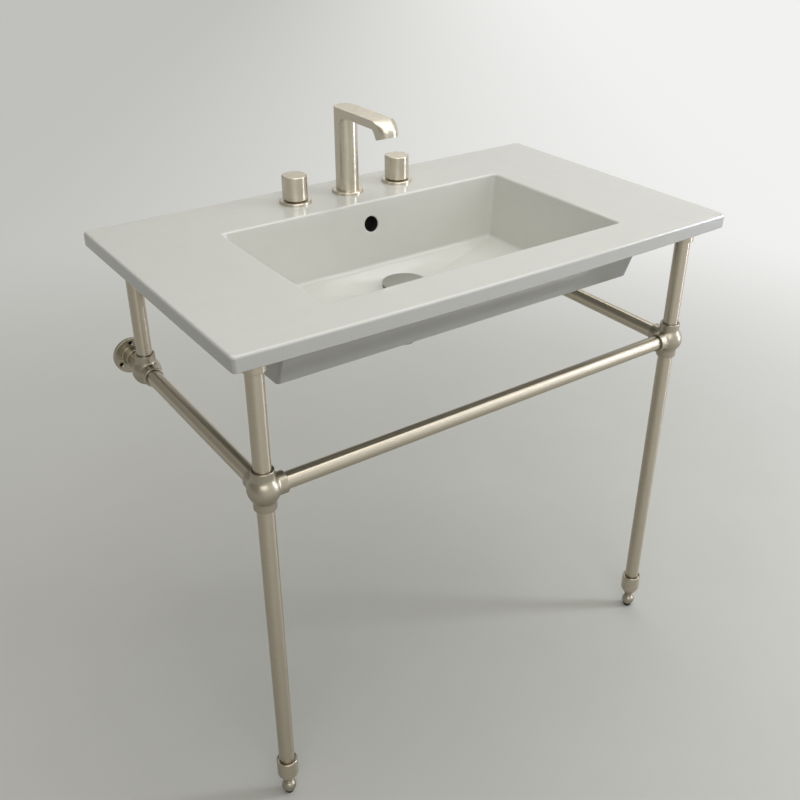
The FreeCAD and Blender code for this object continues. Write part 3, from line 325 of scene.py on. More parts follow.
def skin(mesh, loops, closed=False):
    """Spans closed loops of equally many points with four-sided faces."""
    rows = [[mesh.verts.new(point) for point in loop] for loop in loops]
    pairs = list(zip(rows, rows[1:]))
    if closed:
        pairs.append((rows[-1], rows[0]))
    for near, far in pairs:
        for index in range(len(near)):
            mesh.faces.new((near[index - 1], near[index], far[index], far[index - 1]))
    return rows


def clean(mesh):
    bmesh.ops.remove_doubles(mesh, verts=mesh.verts, dist=MERGE_DISTANCE)
    bmesh.ops.dissolve_degenerate(mesh, edges=mesh.edges, dist=MERGE_DISTANCE)
    bmesh.ops.recalc_face_normals(mesh, faces=mesh.faces)
    return mesh


def ringed(loops):
    """A solid from loops of which the last is joined to the first."""
    mesh = bmesh.new()
    skin(mesh, loops, closed=True)
    return clean(mesh)


def capped(loops):
    """A solid from loops, with a flat face over the first and the last."""
    mesh = bmesh.new()
    rows = skin(mesh, loops)
    mesh.faces.new(rows[0])
    mesh.faces.new(rows[-1])
    return clean(mesh)


def turned(profile, centre, axis=Z_AXIS, steps=TURN_STEPS):
    """Turns a closed outline of (radius, height) points about an axis through a point."""
    stand = Matrix.Translation(centre) @ axis.to_track_quat("Z", "Y").to_matrix().to_4x4()
    loops = []
    for angle in spaced(0.0, math.tau, steps)[:-1]:
        across = math.cos(angle)
        along = math.sin(angle)
        loops.append(
            [stand @ Vector((radius * across, radius * along, up)) for radius, up in profile]
        )
    return ringed(loops)


def solid_object(name, mesh):
    """A new object in the scene from a finished bmesh, which is freed."""
    data = bpy.data.meshes.new(name)
    mesh.to_mesh(data)
    mesh.free()
    solid = bpy.data.objects.new(name, data)
    bpy.context.scene.collection.objects.link(solid)
    return solid


def plain_mesh(item):
    """The object's mesh with its modifiers applied."""
    depsgraph = bpy.context.evaluated_depsgraph_get()
    return bpy.data.meshes.new_from_object(item.evaluated_get(depsgraph))


def combine(base, joined=(), cut=()):
    """Joins closed solids to another one, then cuts others out of it."""
    target = solid_object("blank", base)
    used = [target]
    for operation, meshes in (("UNION", joined), ("DIFFERENCE", cut)):
        for mesh in meshes:
            helper = solid_object("helper", mesh)
            step = target.modifiers.new(operation.lower(), "BOOLEAN")
            step.operation = operation
            step.solver = "EXACT"
            step.object = helper
            used.append(helper)
    data = plain_mesh(target)
    if not data.polygons:
        raise RuntimeError("joining or cutting a piece left nothing")
    result = bmesh.new()
    result.from_mesh(data)
    bpy.data.meshes.remove(data)
    for item in used:
        data = item.data
        bpy.data.objects.remove(item)
        bpy.data.meshes.remove(data)
    return clean(result)


def dress(item, look, node=None, body="console"):
    """Gives a piece its finish and its body, and lets it stand for its CAD node."""
    item.data.materials.clear()
    item.data.materials.append(finish_of(look))
    item.data.shade_smooth()
    item.data.set_sharp_from_angle(angle=SMOOTH_ANGLE)
    weighting = item.modifiers.new("even_shading", "WEIGHTED_NORMAL")
    weighting.keep_sharp = True
    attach(item, body)
    if node:
        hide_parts(node)


def piece(name, mesh, look, node, body="console", edge=0.0):
    """A finished piece from a bmesh, with its sharp edges rounded where a radius is given."""
    item = solid_object(name, mesh)
    if edge > 0:
        rounding = item.modifiers.new("rounded_edges", "BEVEL")
        rounding.width = edge
        rounding.segments = BEVEL_STEPS
        rounding.limit_method = "ANGLE"
        rounding.angle_limit = SMOOTH_ANGLE
    dress(item, look, node, body)
    return item


def shade_hole(item, look, mouth, inward, radius, depth):
    """Paints the inside of a round hole, from its mouth to a depth, with a finish of its own;
    used for painted shade in deep holes.
    """
    material = finish_of(look)
    if material.name not in item.data.materials:
        item.data.materials.append(material)
    for face in item.data.polygons:
        deep = (face.center - mouth).dot(inward)
        off = (face.center - mouth - inward * deep).length
        if 0 < deep < depth - MERGE_DISTANCE and off < radius + MERGE_DISTANCE:
            face.material_index = item.data.materials.find(material.name)


def middle(node):
    low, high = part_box(node)
    return (low + high) / 2


def measured(node):
    """A node's lowest and highest corner, its middle at height 0, and half its width."""
    low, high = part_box(node)
    centre = middle(node)
    return low, high, Vector((centre.x, centre.y, 0)), (high.x - low.x) / 2


# Finishes

NOISE_ROUGHNESS = 0.6
NOISE_LOW = 0.3
NOISE_HIGH = 0.7
BRUSHED_LINE = 0.5
BRUSHED_LENGTH = 14
BRUSHED_RELIEF = 0.0001
OFF_AXIS = Vector((0.02, 0.03, 0.01))


def add(tree, kind, settings=None, inputs=None):
    """Adds a node with its settings; an input takes a value or another node's output."""
    node = tree.nodes.new(kind)
    for name, value in (settings or {}).items():
        setattr(node, name, value)
    for name, value in (inputs or {}).items():
        if isinstance(value, bpy.types.NodeSocket):
            tree.links.new(value, node.inputs[name])
        else:
            node.inputs[name].default_value = value
    return node


def work_out(tree, kind, operation, *values):
    """The value that a maths or vector maths node works out."""
    return add(tree, kind, {"operation": operation}, dict(enumerate(values))).outputs["Value"]


def ramp(tree, value, start, end, kind="LINEAR"):
    """Rises from zero to one while a value goes from a start to an end."""
    inputs = {"Value": value, "From Min": start, "From Max": end}
    return add(tree, "ShaderNodeMapRange", {"interpolation_type": kind}, inputs).outputs["Result"]


def blend(tree, share, first, second):
    """A colour between two others."""
    inputs = {0: share, 6: first, 7: second}
    return add(tree, "ShaderNodeMix", {"data_type": "RGBA"}, inputs).outputs[2]


def hue(name):
    """A colour from its hex code, or from the sidebar by its name."""
    return linear(name) if name[0] == "#" else getattr(bpy.context.scene.sink_colours, name)


def finish(name, colours, marks, gloss, relief, detail=3.0, spread_along=None, **surface):
    """A finish whose colour, gloss and relief follow noise marks.

    The marks' size along X, Y and Z and the relief are in millimetres. Highlights of brushed
    metal are drawn out along an axis where one is given.
    """
    material = bpy.data.materials.new(name)
    material.use_nodes = True
    tree = material.node_tree
    shader = tree.nodes["Principled BSDF"]
    place = add(tree, "ShaderNodeTexCoord").outputs["Object"]
    scale = [1 / (mark * MM) for mark in marks]
    stretch = add(tree, "ShaderNodeMapping", inputs={"Vector": place, "Scale": scale})
    noise = add(
        tree,
        "ShaderNodeTexNoise",
        inputs={
            "Vector": stretch.outputs["Vector"],
            "Scale": 1.0,
            "Detail": detail,
            "Roughness": NOISE_ROUGHNESS,
        },
    )
    spread = ramp(tree, noise.outputs["Fac"], NOISE_LOW, NOISE_HIGH)
    tint = blend(tree, spread, hue(colours[0]), hue(colours[1]))
    roughness = add(
        tree,
        "ShaderNodeMapRange",
        inputs={"Value": spread, "To Min": gloss[0], "To Max": gloss[1]},
    )
    bump = add(
        tree,
        "ShaderNodeBump",
        inputs={"Strength": 1.0, "Distance": relief * MM, "Height": spread},
    )
    tree.links.new(tint, shader.inputs["Base Color"])
    tree.links.new(roughness.outputs["Result"], shader.inputs["Roughness"])
    tree.links.new(bump.outputs["Normal"], shader.inputs["Normal"])
    if spread_along is not None:
        tangent = add(tree, "ShaderNodeCombineXYZ", inputs=dict(enumerate(spread_along)))
        tree.links.new(tangent.outputs["Vector"], shader.inputs["Tangent"])
    for socket, value in surface.items():
        shader.inputs[socket.replace("_", " ").title()].default_value = value
    return material


def brushed_round(axis, metal):
    # Nickel plate brushed round the piece: warm grey, with fine lines across its length that draw
    # highlights out along it. The lines are 0.5 mm apart, coarser than real ones, so they show.
    # The way they spread is a little off the axis, so that flat ends have one too.
    return dict(
        colours=(metal + "_shade", metal),
        marks=[BRUSHED_LINE if share else BRUSHED_LENGTH for share in axis],
        gloss=(0.28, 0.30),
        relief=BRUSHED_RELIEF,
        detail=2.0,
        spread_along=axis + OFF_AXIS,
        metallic=1.0,
        anisotropic=0.9,
    )


FINISHES = {
    # Thick glaze over cast clay: a soft white with a wet gloss, and a slow ripple of about 30 mm
    # that bends reflections a little.
    "glazed_fireclay": dict(
        colours=("glaze_shade", "glaze"),
        marks=(30, 30, 30),
        gloss=(0.10, 0.16),
        relief=0.03,
        coat_weight=0.35,
        coat_roughness=0.04,
    ),
    # Inside of the overflow: dull unglazed clay, painted almost black as painted shade deep in
    # the hole.
    "overflow_painted_shade": dict(
        colours=("#12110F", "#1E1D1A"), marks=(4, 4, 4), gloss=(0.75, 0.9), relief=0.05
    ),
    # Inside the drilled screw holes: dull metal painted almost black, as painted shade where the
    # light hardly reaches.
    "bore_painted_shade": dict(
        colours=("#1B1917", "#2A2724"),
        marks=(0.6, 0.6, 0.6),
        gloss=(0.6, 0.75),
        relief=0.002,
        metallic=1.0,
    ),
    "brushed_nickel_tube_x": brushed_round(X_AXIS, "nickel"),
    "brushed_nickel_tube_y": brushed_round(Y_AXIS, "nickel"),
    "brushed_nickel_tube_z": brushed_round(Z_AXIS, "nickel"),
    "brushed_nickel_tap": brushed_round(Z_AXIS, "tap"),
    # Machined castings are brushed in all directions, so their grain is even and a little softer.
    "brushed_nickel_casting": dict(
        colours=("casting_shade", "casting"),
        marks=(1.2, 1.2, 1.2),
        gloss=(0.34, 0.37),
        relief=BRUSHED_RELIEF,
        detail=2.0,
        metallic=1.0,
    ),
    # The drain is brushed finer and looks greyer than the tap, since it reflects the bowl.
    "brushed_nickel_drain": dict(
        colours=("drain_shade", "drain"),
        marks=(0.6, 6, 6),
        gloss=(0.30, 0.36),
        relief=0.0005,
        metallic=1.0,
    ),
    # Bare turned brass: yellow, with tool rings 0.8 mm apart round the upright axis.
    "machined_brass": dict(
        colours=("#B08D57", "#CFAE72"),
        marks=(20, 20, 0.8),
        gloss=(0.22, 0.36),
        relief=0.02,
        metallic=1.0,
    ),
    # Drawn tube with draw lines along X and a slightly dulled skin.
    "drawn_copper": dict(
        colours=("#A8653F", "#C98760"),
        marks=(25, 1, 1),
        gloss=(0.25, 0.42),
        relief=0.01,
        metallic=1.0,
    ),
    # Moulded plastic: milky white and half matt, from a lightly eroded mould.
    "moulded_acetal": dict(
        colours=("#DEDCD4", "#EBEAE4"), marks=(1.5, 1.5, 1.5), gloss=(0.42, 0.55), relief=0.01
    ),
    # Lapped ceramic disc: dense white with a fine even sheen.
    "lapped_alumina": dict(
        colours=("#E6E4DC", "#F0EFEA"), marks=(0.8, 0.8, 0.8), gloss=(0.18, 0.24), relief=0.002
    ),
    # Black rubber: dull, with a fine pitted skin that greys the highlights.
    "moulded_rubber": dict(
        colours=("#1B1B1A", "#2B2A29"), marks=(0.9, 0.9, 0.9), gloss=(0.62, 0.80), relief=0.03
    ),
    # Plain stainless screws: cool grey with turning marks.
    "stainless_steel": dict(
        colours=("#8F9092", "#B4B5B6"),
        marks=(0.5, 0.5, 0.5),
        gloss=(0.25, 0.38),
        relief=0.01,
        metallic=1.0,
    ),
    # Smooth painted studio floor: pale and matt, with a faint mottle so that shadows read.
    "painted_floor": dict(
        colours=("floor_shade", "floor"), marks=(400, 400, 400), gloss=(0.75, 0.85), relief=0.0
    ),
}
made_finishes = {}


def finish_of(name):
    """The finish of a name, made the first time that a piece asks for it."""
    if name not in made_finishes:
        made_finishes[name] = finish(name, **FINISHES[name])
    return made_finishes[name]


# Basin


def rounded_outline(side, front, back, radius, bow=0.0):
    """A rectangle with round corners, even about the middle, whose front may bow out."""
    across = side - radius
    rear = back - radius
    fore = front + bow + radius
    bends = [
        arc(x, y, radius, start, start + 90, OUTLINE_CORNER_STEPS)
        for x, y, start in (
            (across, rear, 0),
            (-across, rear, 90),
            (-across, fore, 180),
            (across, fore, 270),
        )
    ]
    outline = []
    for bend, following in zip(bends, bends[1:] + bends[:1]):
        outline += bend
        goal = Vector(following[0])
        for share in spaced(0.0, 1.0, OUTLINE_SIDE_STEPS)[1:-1]:
            outline.append(tuple(Vector(bend[-1]).lerp(goal, share)))
    half = (front + back) / 2
    return [
        (x, y - bow * (1 - (x / side) ** 2)) if bow and y < half else (x, y)
        for x, y in outline
    ]


def at_height(outline, height):
    return [Vector((x, y, height)) for x, y in outline]


def round_hole(outline, centre, radius):
    """The points of an outline drawn in to a circle about a place inside it."""
    points = []
    for x, y in outline:
        away = (Vector((x, y)) - centre).normalized()
        points.append(tuple(centre + away * radius))
    return points


def between(outer, inner, share):
    return [tuple(Vector(a).lerp(Vector(b), share)) for a, b in zip(outer, inner)]


class BasinShape:
    """Places of the basin, from its bounding box and its sizes."""

    def __init__(self, sizes):
        low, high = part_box("basin")
        self.sizes = sizes
        self.side = high.x
        self.front = low.y
        self.back = high.y
        self.rim = high.z
        self.under = high.z - sizes.slab_thickness
        self.floor = high.z - sizes.bowl_depth
        self.seat = high.z - sizes.seat_depth
        self.apron_bottom = self.floor - sizes.apron_floor
        self.belly = self.seat - sizes.apron_floor
        self.boss_bottom = low.z
        self.drain = Vector((0.0, self.back - sizes.drain_from_back))
        self.bowl_side = self.side - sizes.side_ledge
        self.bowl_back = self.back - sizes.back_ledge
        self.bowl_front = self.front + sizes.front_ledge

    def slab(self, inset):
        s = self.sizes
        return rounded_outline(
            self.side - inset, self.front + inset, self.back - inset, s.slab_corner, s.slab_bow
        )

    def bowl(self, height, outset=0.0):
        """The bowl's outline at a height, or wider by an outset."""
        s = self.sizes
        share = (self.rim - height) / s.bowl_depth
        return rounded_outline(
            self.bowl_side - share * s.side_draft + outset,
            self.bowl_front + share * s.front_draft - outset,
            self.bowl_back - share * s.back_draft + outset,
            s.bowl_corner + outset,
        )

    def apron(self, height, inset=0.0):
        s = self.sizes
        share = (self.rim - height) / s.bowl_depth
        return rounded_outline(
            self.bowl_side + s.apron_side - inset,
            self.bowl_front + share * s.front_draft - s.apron_front + inset,
            self.bowl_back + s.apron_back - inset,
            s.apron_corner,
        )

    def top_loops(self):
        """From the middle of the slab's edge over the rim to the foot of the bowl's walls."""
        s = self.sizes
        loops = []
        for inset, drop in quarter_round(s.slab_edge):
            loops.append(at_height(self.slab(inset), self.rim - drop))
        for drop, outset in quarter_round(s.rim_edge):
            height = self.rim - drop
            loops.append(at_height(self.bowl(height, outset), height))
        for inset, rise in quarter_round(s.floor_edge):
            height = self.floor + rise
            loops.append(at_height(self.bowl(height, -inset), height))
        return loops

    def floor_loops(self):
        """The floor, which falls in one soft sweep from the walls to the drain's seat."""
        s = self.sizes
        edge = self.bowl(self.floor, -s.floor_edge)
        seat = round_hole(edge, self.drain, s.seat_radius)
        loops = []
        for share in spaced(0.0, 1.0, BOWL_FLOOR_STEPS)[1:]:
            fall = math.sin(share * QUARTER) ** BOWL_FLOOR_CURVE
            height = self.floor + (self.seat - self.floor) * fall
            loops.append(at_height(between(edge, seat, share), height))
        hole = round_hole(edge, self.drain, s.drain_hole)
        loops.append(at_height(hole, self.seat))
        loops.append(at_height(hole, self.boss_bottom))
        return loops

    def under_loops(self):
        """From the drain's boss over the belly and the apron to the slab's underside."""
        s = self.sizes
        edge = self.bowl(self.floor, -s.floor_edge)
        boss = round_hole(edge, self.drain, s.boss_radius)
        belly = round_hole(edge, self.drain, s.boss_radius + s.apron_floor)
        loops = [
            at_height(boss, self.boss_bottom),
            at_height(boss, self.belly),
            at_height(belly, self.belly),
            at_height(edge, self.apron_bottom),
        ]
        for rise, inset in quarter_round(s.apron_edge):
            height = self.apron_bottom + rise
            loops.append(at_height(self.apron(height, inset), height))
        loops.append(at_height(self.apron(self.under), self.under))
        for rise, inset in quarter_round(s.slab_lower_edge):
            loops.append(at_height(self.slab(inset), self.under + rise))
        return loops

    def duct(self):
        """The casing of the overflow's way under the floor."""
        s = self.sizes
        front = self.drain.y + s.boss_radius - s.apron_floor
        back = self.bowl_back + s.apron_back - s.apron_edge
        outline = rounded_outline(s.duct_half_width, front, back, s.bowl_corner)
        rise = (self.floor - self.seat) / (back - self.drain.y)
        inside = self.belly + s.apron_floor / 2
        top = [Vector((x, y, inside + rise * (y - self.drain.y))) for x, y in outline]
        return capped([at_height(outline, self.boss_bottom + s.apron_edge), top])

    def overflow(self):
        """The middle of the overflow hole on the back wall, and the way out of it."""
        s = self.sizes
        share = s.overflow_depth / s.bowl_depth
        mouth = Vector((0, self.bowl_back - share * s.back_draft, self.rim - s.overflow_depth))
        return mouth, Vector((0, -s.bowl_depth, s.back_draft)).normalized()

    def cutters(self):
        """The tap holes, the overflow hole and the hollows under the deck beside the bowl."""
        s = self.sizes
        below = self.under - s.slab_thickness
        meshes = []
        for node in TAP_RINGS:
            at = middle(node)
            hole = cylinder(s.tap_hole, 0, 3 * s.slab_thickness)
            meshes.append(turned(hole, Vector((at.x, at.y, below))))
        mouth, lean = self.overflow()
        lip = s.overflow_radius + s.overflow_lip
        profile = [(0, -s.overflow_reach), (s.overflow_radius, -s.overflow_reach)]
        profile += arc(lip, -s.overflow_lip, s.overflow_lip, 180, 90)
        profile += [(lip, CUT_PAST), (0, CUT_PAST)]
        meshes.append(turned(profile, mouth, lean))
        inner = self.bowl_side + s.pocket_wall
        outer = self.bowl_side + s.apron_side - s.pocket_wall
        front = self.bowl_front + s.front_draft - s.apron_front + s.pocket_wall
        back = self.bowl_back + s.apron_back - s.pocket_wall
        bottom = self.apron_bottom - s.slab_thickness
        for sign in (-1, 1):
            centre = sign * (inner + outer) / 2
            outline = rounded_outline((outer - inner) / 2, front, back, s.bowl_corner)
            outline = [(x + centre, y) for x, y in outline]
            meshes.append(capped([at_height(outline, bottom), at_height(outline, self.under)]))
        return meshes


class SinkBasinOperator(bpy.types.Operator):
    """Makes the glazed basin with its bowl, overflow, apron and tap holes"""

    bl_idname = "sink.basin"
    bl_label = "Basin"

    def execute(self, context):
        shape = BasinShape(context.scene.sink_basin)
        mesh = ringed(shape.top_loops() + shape.floor_loops() + shape.under_loops())
        mesh = combine(mesh, [shape.duct()], shape.cutters())
        basin = piece("glazed_basin", mesh, "glazed_fireclay", "basin")
        s = shape.sizes
        mouth, lean = shape.overflow()
        mouth -= lean * s.overflow_lip
        # The overflow hole's inside is painted almost black: painted shade.
        shade_hole(basin, "overflow_painted_shade", mouth, -lean, s.overflow_radius, s.overflow_reach)
        return {"FINISHED"}


# Tap


class SinkSpoutOperator(bpy.types.Operator):
    """Makes the spout: a flat-sided column and an arm with a rounded nose"""

    bl_idname = "sink.spout"
    bl_label = "Spout"

    def profile(self, x, reach):
        """The spout's side outline (forward, up) at a distance from its middle."""
        s = bpy.context.scene.sink_metal
        low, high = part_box("spout")
        top = high.z
        under = top - s.arm_thickness
        lip = top - s.nose_drop
        crease = math.sqrt(s.spout_radius ** 2 - high.x ** 2)
        column = math.sqrt(s.spout_radius ** 2 - x ** 2)
        front = reach - s.spout_radius + column
        lip_back = reach - s.nose_length
        arm_end = lip_back - s.nose_slope
        nose_start = reach - s.spout_radius + crease - s.nose_run
        arch = crease + s.arch_radius
        outline = [(-column, low.z), (-column, top)]
        outline += [(along, top) for along in spaced(0.0, nose_start, ARM_TOP_STEPS)[:-1]]
        for angle in spaced(QUARTER, 0.0, NOSE_STEPS):
            forward = nose_start + (front - nose_start) * math.cos(angle)
            outline.append((forward, top - s.nose_radius + s.nose_radius * math.sin(angle)))
        tilt = s.nose_tilt * (front - lip_back) / s.nose_length
        outline += [(front, lip + tilt), (lip_back, lip)]
        for angle in spaced(0.0, QUARTER, SLOPE_STEPS)[1:]:
            rest = 1 - math.sin(angle)
            drop = (under - lip) * rest ** NOSE_SLOPE_CURVE
            outline.append((arm_end + s.nose_slope * rest, under - drop))
        outline += [(along, under) for along in spaced(arm_end, arch, ARM_UNDER_STEPS)[1:-1]]
        spring = math.degrees(math.acos((column - arch) / s.arch_radius))
        outline += arc(arch, under - s.arch_radius, s.arch_radius, 90, spring, ARCH_STEPS)
        outline.append((column, low.z))
        return outline

    def execute(self, context):
        s = context.scene.sink_metal
        low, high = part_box("spout")
        axis_y = middle("spout_ring").y
        limit = math.asin(high.x / s.spout_radius)
        loops = []
        for angle in spaced(-limit, limit, SPOUT_SLICES):
            x = s.spout_radius * math.sin(angle)
            outline = self.profile(x, axis_y - low.y)
            loops.append([Vector((x, axis_y - forward, up)) for forward, up in outline])
        outlet_low, outlet_high, centre, radius = measured("aerator")
        deep = 2 * (outlet_high.z - outlet_low.z)
        bore = cylinder(radius, outlet_high.z - deep, outlet_high.z)
        mesh = combine(capped(loops), cut=[turned(bore, Vector((0, centre.y, 0)))])
        piece("cast_spout", mesh, "brushed_nickel_tap", "spout", edge=s.spout_edge)
        return {"FINISHED"}


class SinkKnobsOperator(bpy.types.Operator):
    """Makes the two flat-sided knobs"""

    bl_idname = "sink.knobs"
    bl_label = "Knobs"

    def outline(self, radius, flat):
        crease = math.acos(flat / radius)
        angles = spaced(crease, math.pi - crease, KNOB_STEPS)
        angles += spaced(math.pi + crease, math.tau - crease, KNOB_STEPS)
        return [(radius * math.cos(angle), radius * math.sin(angle)) for angle in angles]

    def execute(self, context):
        s = context.scene.sink_metal
        for side in SIDES:
            node = side + "_handle"
            low, high, centre, flat = measured(node)
            shape = self.outline(s.knob_radius, flat)
            hollow = round_hole(shape, Vector((0, 0)), s.knob_cavity)
            loops = [
                (hollow, low.z + s.knob_cavity_depth),
                (hollow, low.z),
                (self.outline(s.knob_radius - s.knob_foot, flat - s.knob_foot), low.z),
                (shape, low.z + s.knob_foot),
            ]
            for inset, drop in quarter_round(s.knob_edge):
                loops.append((self.outline(s.knob_radius - inset, flat - inset), high.z - drop))
            mesh = capped([[point + centre for point in at_height(*loop)] for loop in loops])
            piece(side + "_knob", mesh, "brushed_nickel_tap", node, node)
        return {"FINISHED"}


class SinkTapRingsOperator(bpy.types.Operator):
    """Makes the three rings between the tap and the deck"""

    bl_idname = "sink.tap_rings"
    bl_label = "Tap rings"

    def execute(self, context):
        s = context.scene.sink_metal
        for node in TAP_RINGS:
            low, high, centre, radius = measured(node)
            profile = round_corners(
                (s.ring_bore, low.z, 0),
                (radius, low.z, 0),
                (radius, high.z, s.ring_edge),
                (s.ring_bore, high.z, 0),
            )
            piece(node + "_turned", turned(profile, centre), "brushed_nickel_tap", node)
        return {"FINISHED"}


# Waste


class SinkStopperOperator(bpy.types.Operator):
    """Makes the stopper's domed cap"""

    bl_idname = "sink.stopper"
    bl_label = "Stopper"

    def execute(self, context):
        s = context.scene.sink_metal
        low, high, centre, radius = measured("stopper_cap")
        seal_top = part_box("stopper_seal")[1].z
        rim = high.z - s.stopper_dome
        profile = [
            (0, low.z),
            (s.stopper_boss, low.z),
            (s.stopper_boss, seal_top),
            (radius - s.stopper_undercut, seal_top),
        ]
        edge = s.stopper_edge
        profile += arc(radius - edge, rim - s.stopper_edge_drop, edge, 0, 60)
        for share in spaced(DOME_RIM, 0.0, DOME_STEPS):
            profile.append((radius * share, rim + s.stopper_dome * (1 - share ** 2)))
        mesh = turned(profile, centre)
        piece("stopper_dome", mesh, "brushed_nickel_drain", "stopper_cap", "stopper")
        return {"FINISHED"}


# Stand


class SinkTubesOperator(bpy.types.Operator):
    """Makes the legs, posts, side rails and crossbar"""

    bl_idname = "sink.tubes"
    bl_label = "Tubes"

    def execute(self, context):
        s = context.scene.sink_metal
        nodes = ["front_crossbar"]
        for side in SIDES:
            names = ("_front_leg", "_front_post", "_rear_post", "_side_rail")
            nodes += [side + name for name in names]
        for node in nodes:
            low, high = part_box(node)
            spans = list(high - low)
            way = spans.index(max(spans))
            radius = min(spans) / 2
            start = middle(node)
            start[way] = low[way]
            profile = round_corners(
                (radius - s.tube_wall, 0, 0),
                (radius, 0, s.socket_lip),
                (radius, spans[way], s.socket_lip),
                (radius - s.tube_wall, spans[way], 0),
            )
            mesh = turned(profile, start, (X_AXIS, Y_AXIS, Z_AXIS)[way])
            look = "brushed_nickel_tube_" + "xyz"[way]
            piece(node + "_drawn", mesh, look, node)
        return {"FINISHED"}


def tube_radius():
    low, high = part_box("front_crossbar")
    return (high.z - low.z) / 2


def ball_fittings():
    """Each ball fitting's node and middle, and its sockets' ways with their screws' sides."""
    fittings = []
    for side in SIDES:
        inward = X_AXIS if side == "left" else -X_AXIS
        corner = ((Z_AXIS, Y_AXIS), (-Z_AXIS, Y_AXIS), (Y_AXIS, -Z_AXIS), (inward, -Z_AXIS))
        rear = ((Z_AXIS, Y_AXIS), (-Y_AXIS, -Z_AXIS))
        rail = middle(side + "_side_rail").z
        for name, row, sockets in (("corner", "front", corner), ("rear", "rear", rear)):
            post = middle("%s_%s_post" % (side, row))
            node = "%s_%s_fitting" % (side, name)
            fittings.append((node, Vector((post.x, post.y, rail)), sockets))
    return fittings


class SinkFittingsOperator(bpy.types.Operator):
    """Makes the ball fittings that join the stand's tubes"""

    bl_idname = "sink.fittings"
    bl_label = "Ball fittings"

    def socket(self):
        """The outline of a socket that flares out of its ball, without its bore."""
        s = bpy.context.scene.sink_metal
        across = s.socket_radius + s.socket_flare
        away = s.ball_radius + s.socket_flare
        up = math.sqrt(away ** 2 - across ** 2)
        lean = math.degrees(math.atan2(up, across))
        lip = s.socket_lip
        profile = [(0, 0), (SOCKET_ROOT * across * s.ball_radius / away, 0)]
        profile += arc(across, up, s.socket_flare, 180 + lean, 180)
        profile += arc(s.socket_radius - lip, s.socket_reach - lip, lip, 0, 90)
        profile.append((0, s.socket_reach))
        return profile

    def bore(self):
        s = bpy.context.scene.sink_metal
        step = s.socket_reach - s.mouth_depth
        out = s.socket_reach + s.mouth_depth
        return [
            (0, s.socket_seat),
            (tube_radius(), s.socket_seat),
            (tube_radius(), step),
            (s.mouth_radius, step),
            (s.mouth_radius, out),
            (0, out),
        ]

    def execute(self, context):
        radius = context.scene.sink_metal.ball_radius
        ball = [(0, -radius)]
        ball += arc(0, 0, radius, -BALL_POLE, BALL_POLE, BALL_STEPS)
        ball.append((0, radius))
        for node, centre, sockets in ball_fittings():
            solids = [turned(self.socket(), centre, way) for way, screw in sockets]
            holes = [turned(self.bore(), centre, way) for way, screw in sockets]
            if "_rear_" in node:
                spigot = cylinder(tube_radius(), 0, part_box(node)[1].y - centre.y)
                solids.append(turned(spigot, centre, Y_AXIS))
            mesh = combine(turned(ball, centre), solids, holes)
            piece(node + "_cast", mesh, "brushed_nickel_casting", node)
        return {"FINISHED"}


class SinkCollarsOperator(bpy.types.Operator):
    """Makes the collars on the tops of the posts and round the feet"""

    bl_idname = "sink.collars"
    bl_label = "Collars"

    def post_collar(self, low, high):
        s = bpy.context.scene.sink_metal
        cap = high - s.collar_cap
        step = low + s.mouth_depth
        return round_corners(
            (0, high, 0),
            (s.socket_radius, high, s.socket_lip),
            (s.socket_radius, low, s.socket_lip),
            (s.mouth_radius, low, 0),
            (s.mouth_radius, step, 0),
            (tube_radius(), step, 0),
            (tube_radius(), cap, 0),
            (0, cap, 0),
        )

    def foot_collar(self, low, high, radius, seat):
        s = bpy.context.scene.sink_metal
        bore = s.stud_radius + s.stud_play
        step = high - s.foot_mouth_depth
        return round_corners(
            (bore, low, 0),
            (s.foot_tip, low, s.socket_lip),
            (radius, low + s.foot_taper, s.foot_shoulder),
            (radius, high, s.socket_lip),
            (s.foot_mouth_radius, high, 0),
            (s.foot_mouth_radius, step, 0),
            (tube_radius(), step, 0),
            (tube_radius(), seat, 0),
            (bore, seat, 0),
        )

    def finished(self, node, mesh):
        piece(node + "_turned", mesh, "brushed_nickel_tube_z", node)

    def execute(self, context):
        for row in ("front", "rear"):
            node = row + "_post_collars"
            low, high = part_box(node)
            mesh = bmesh.new()
            for side in SIDES:
                post = middle("%s_%s_post" % (side, row))
                collar = turned(self.post_collar(low.z, high.z), Vector((post.x, post.y, 0)))
                data = bpy.data.meshes.new("collar")
                collar.to_mesh(data)
                collar.free()
                mesh.from_mesh(data)
                bpy.data.meshes.remove(data)
            self.finished(node, mesh)
        for side in SIDES:
            node = side + "_foot_collar"
            low, high, centre, radius = measured(node)
            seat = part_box(side + "_front_leg")[0].z
            self.finished(node, turned(self.foot_collar(low.z, high.z, radius, seat), centre))
        return {"FINISHED"}


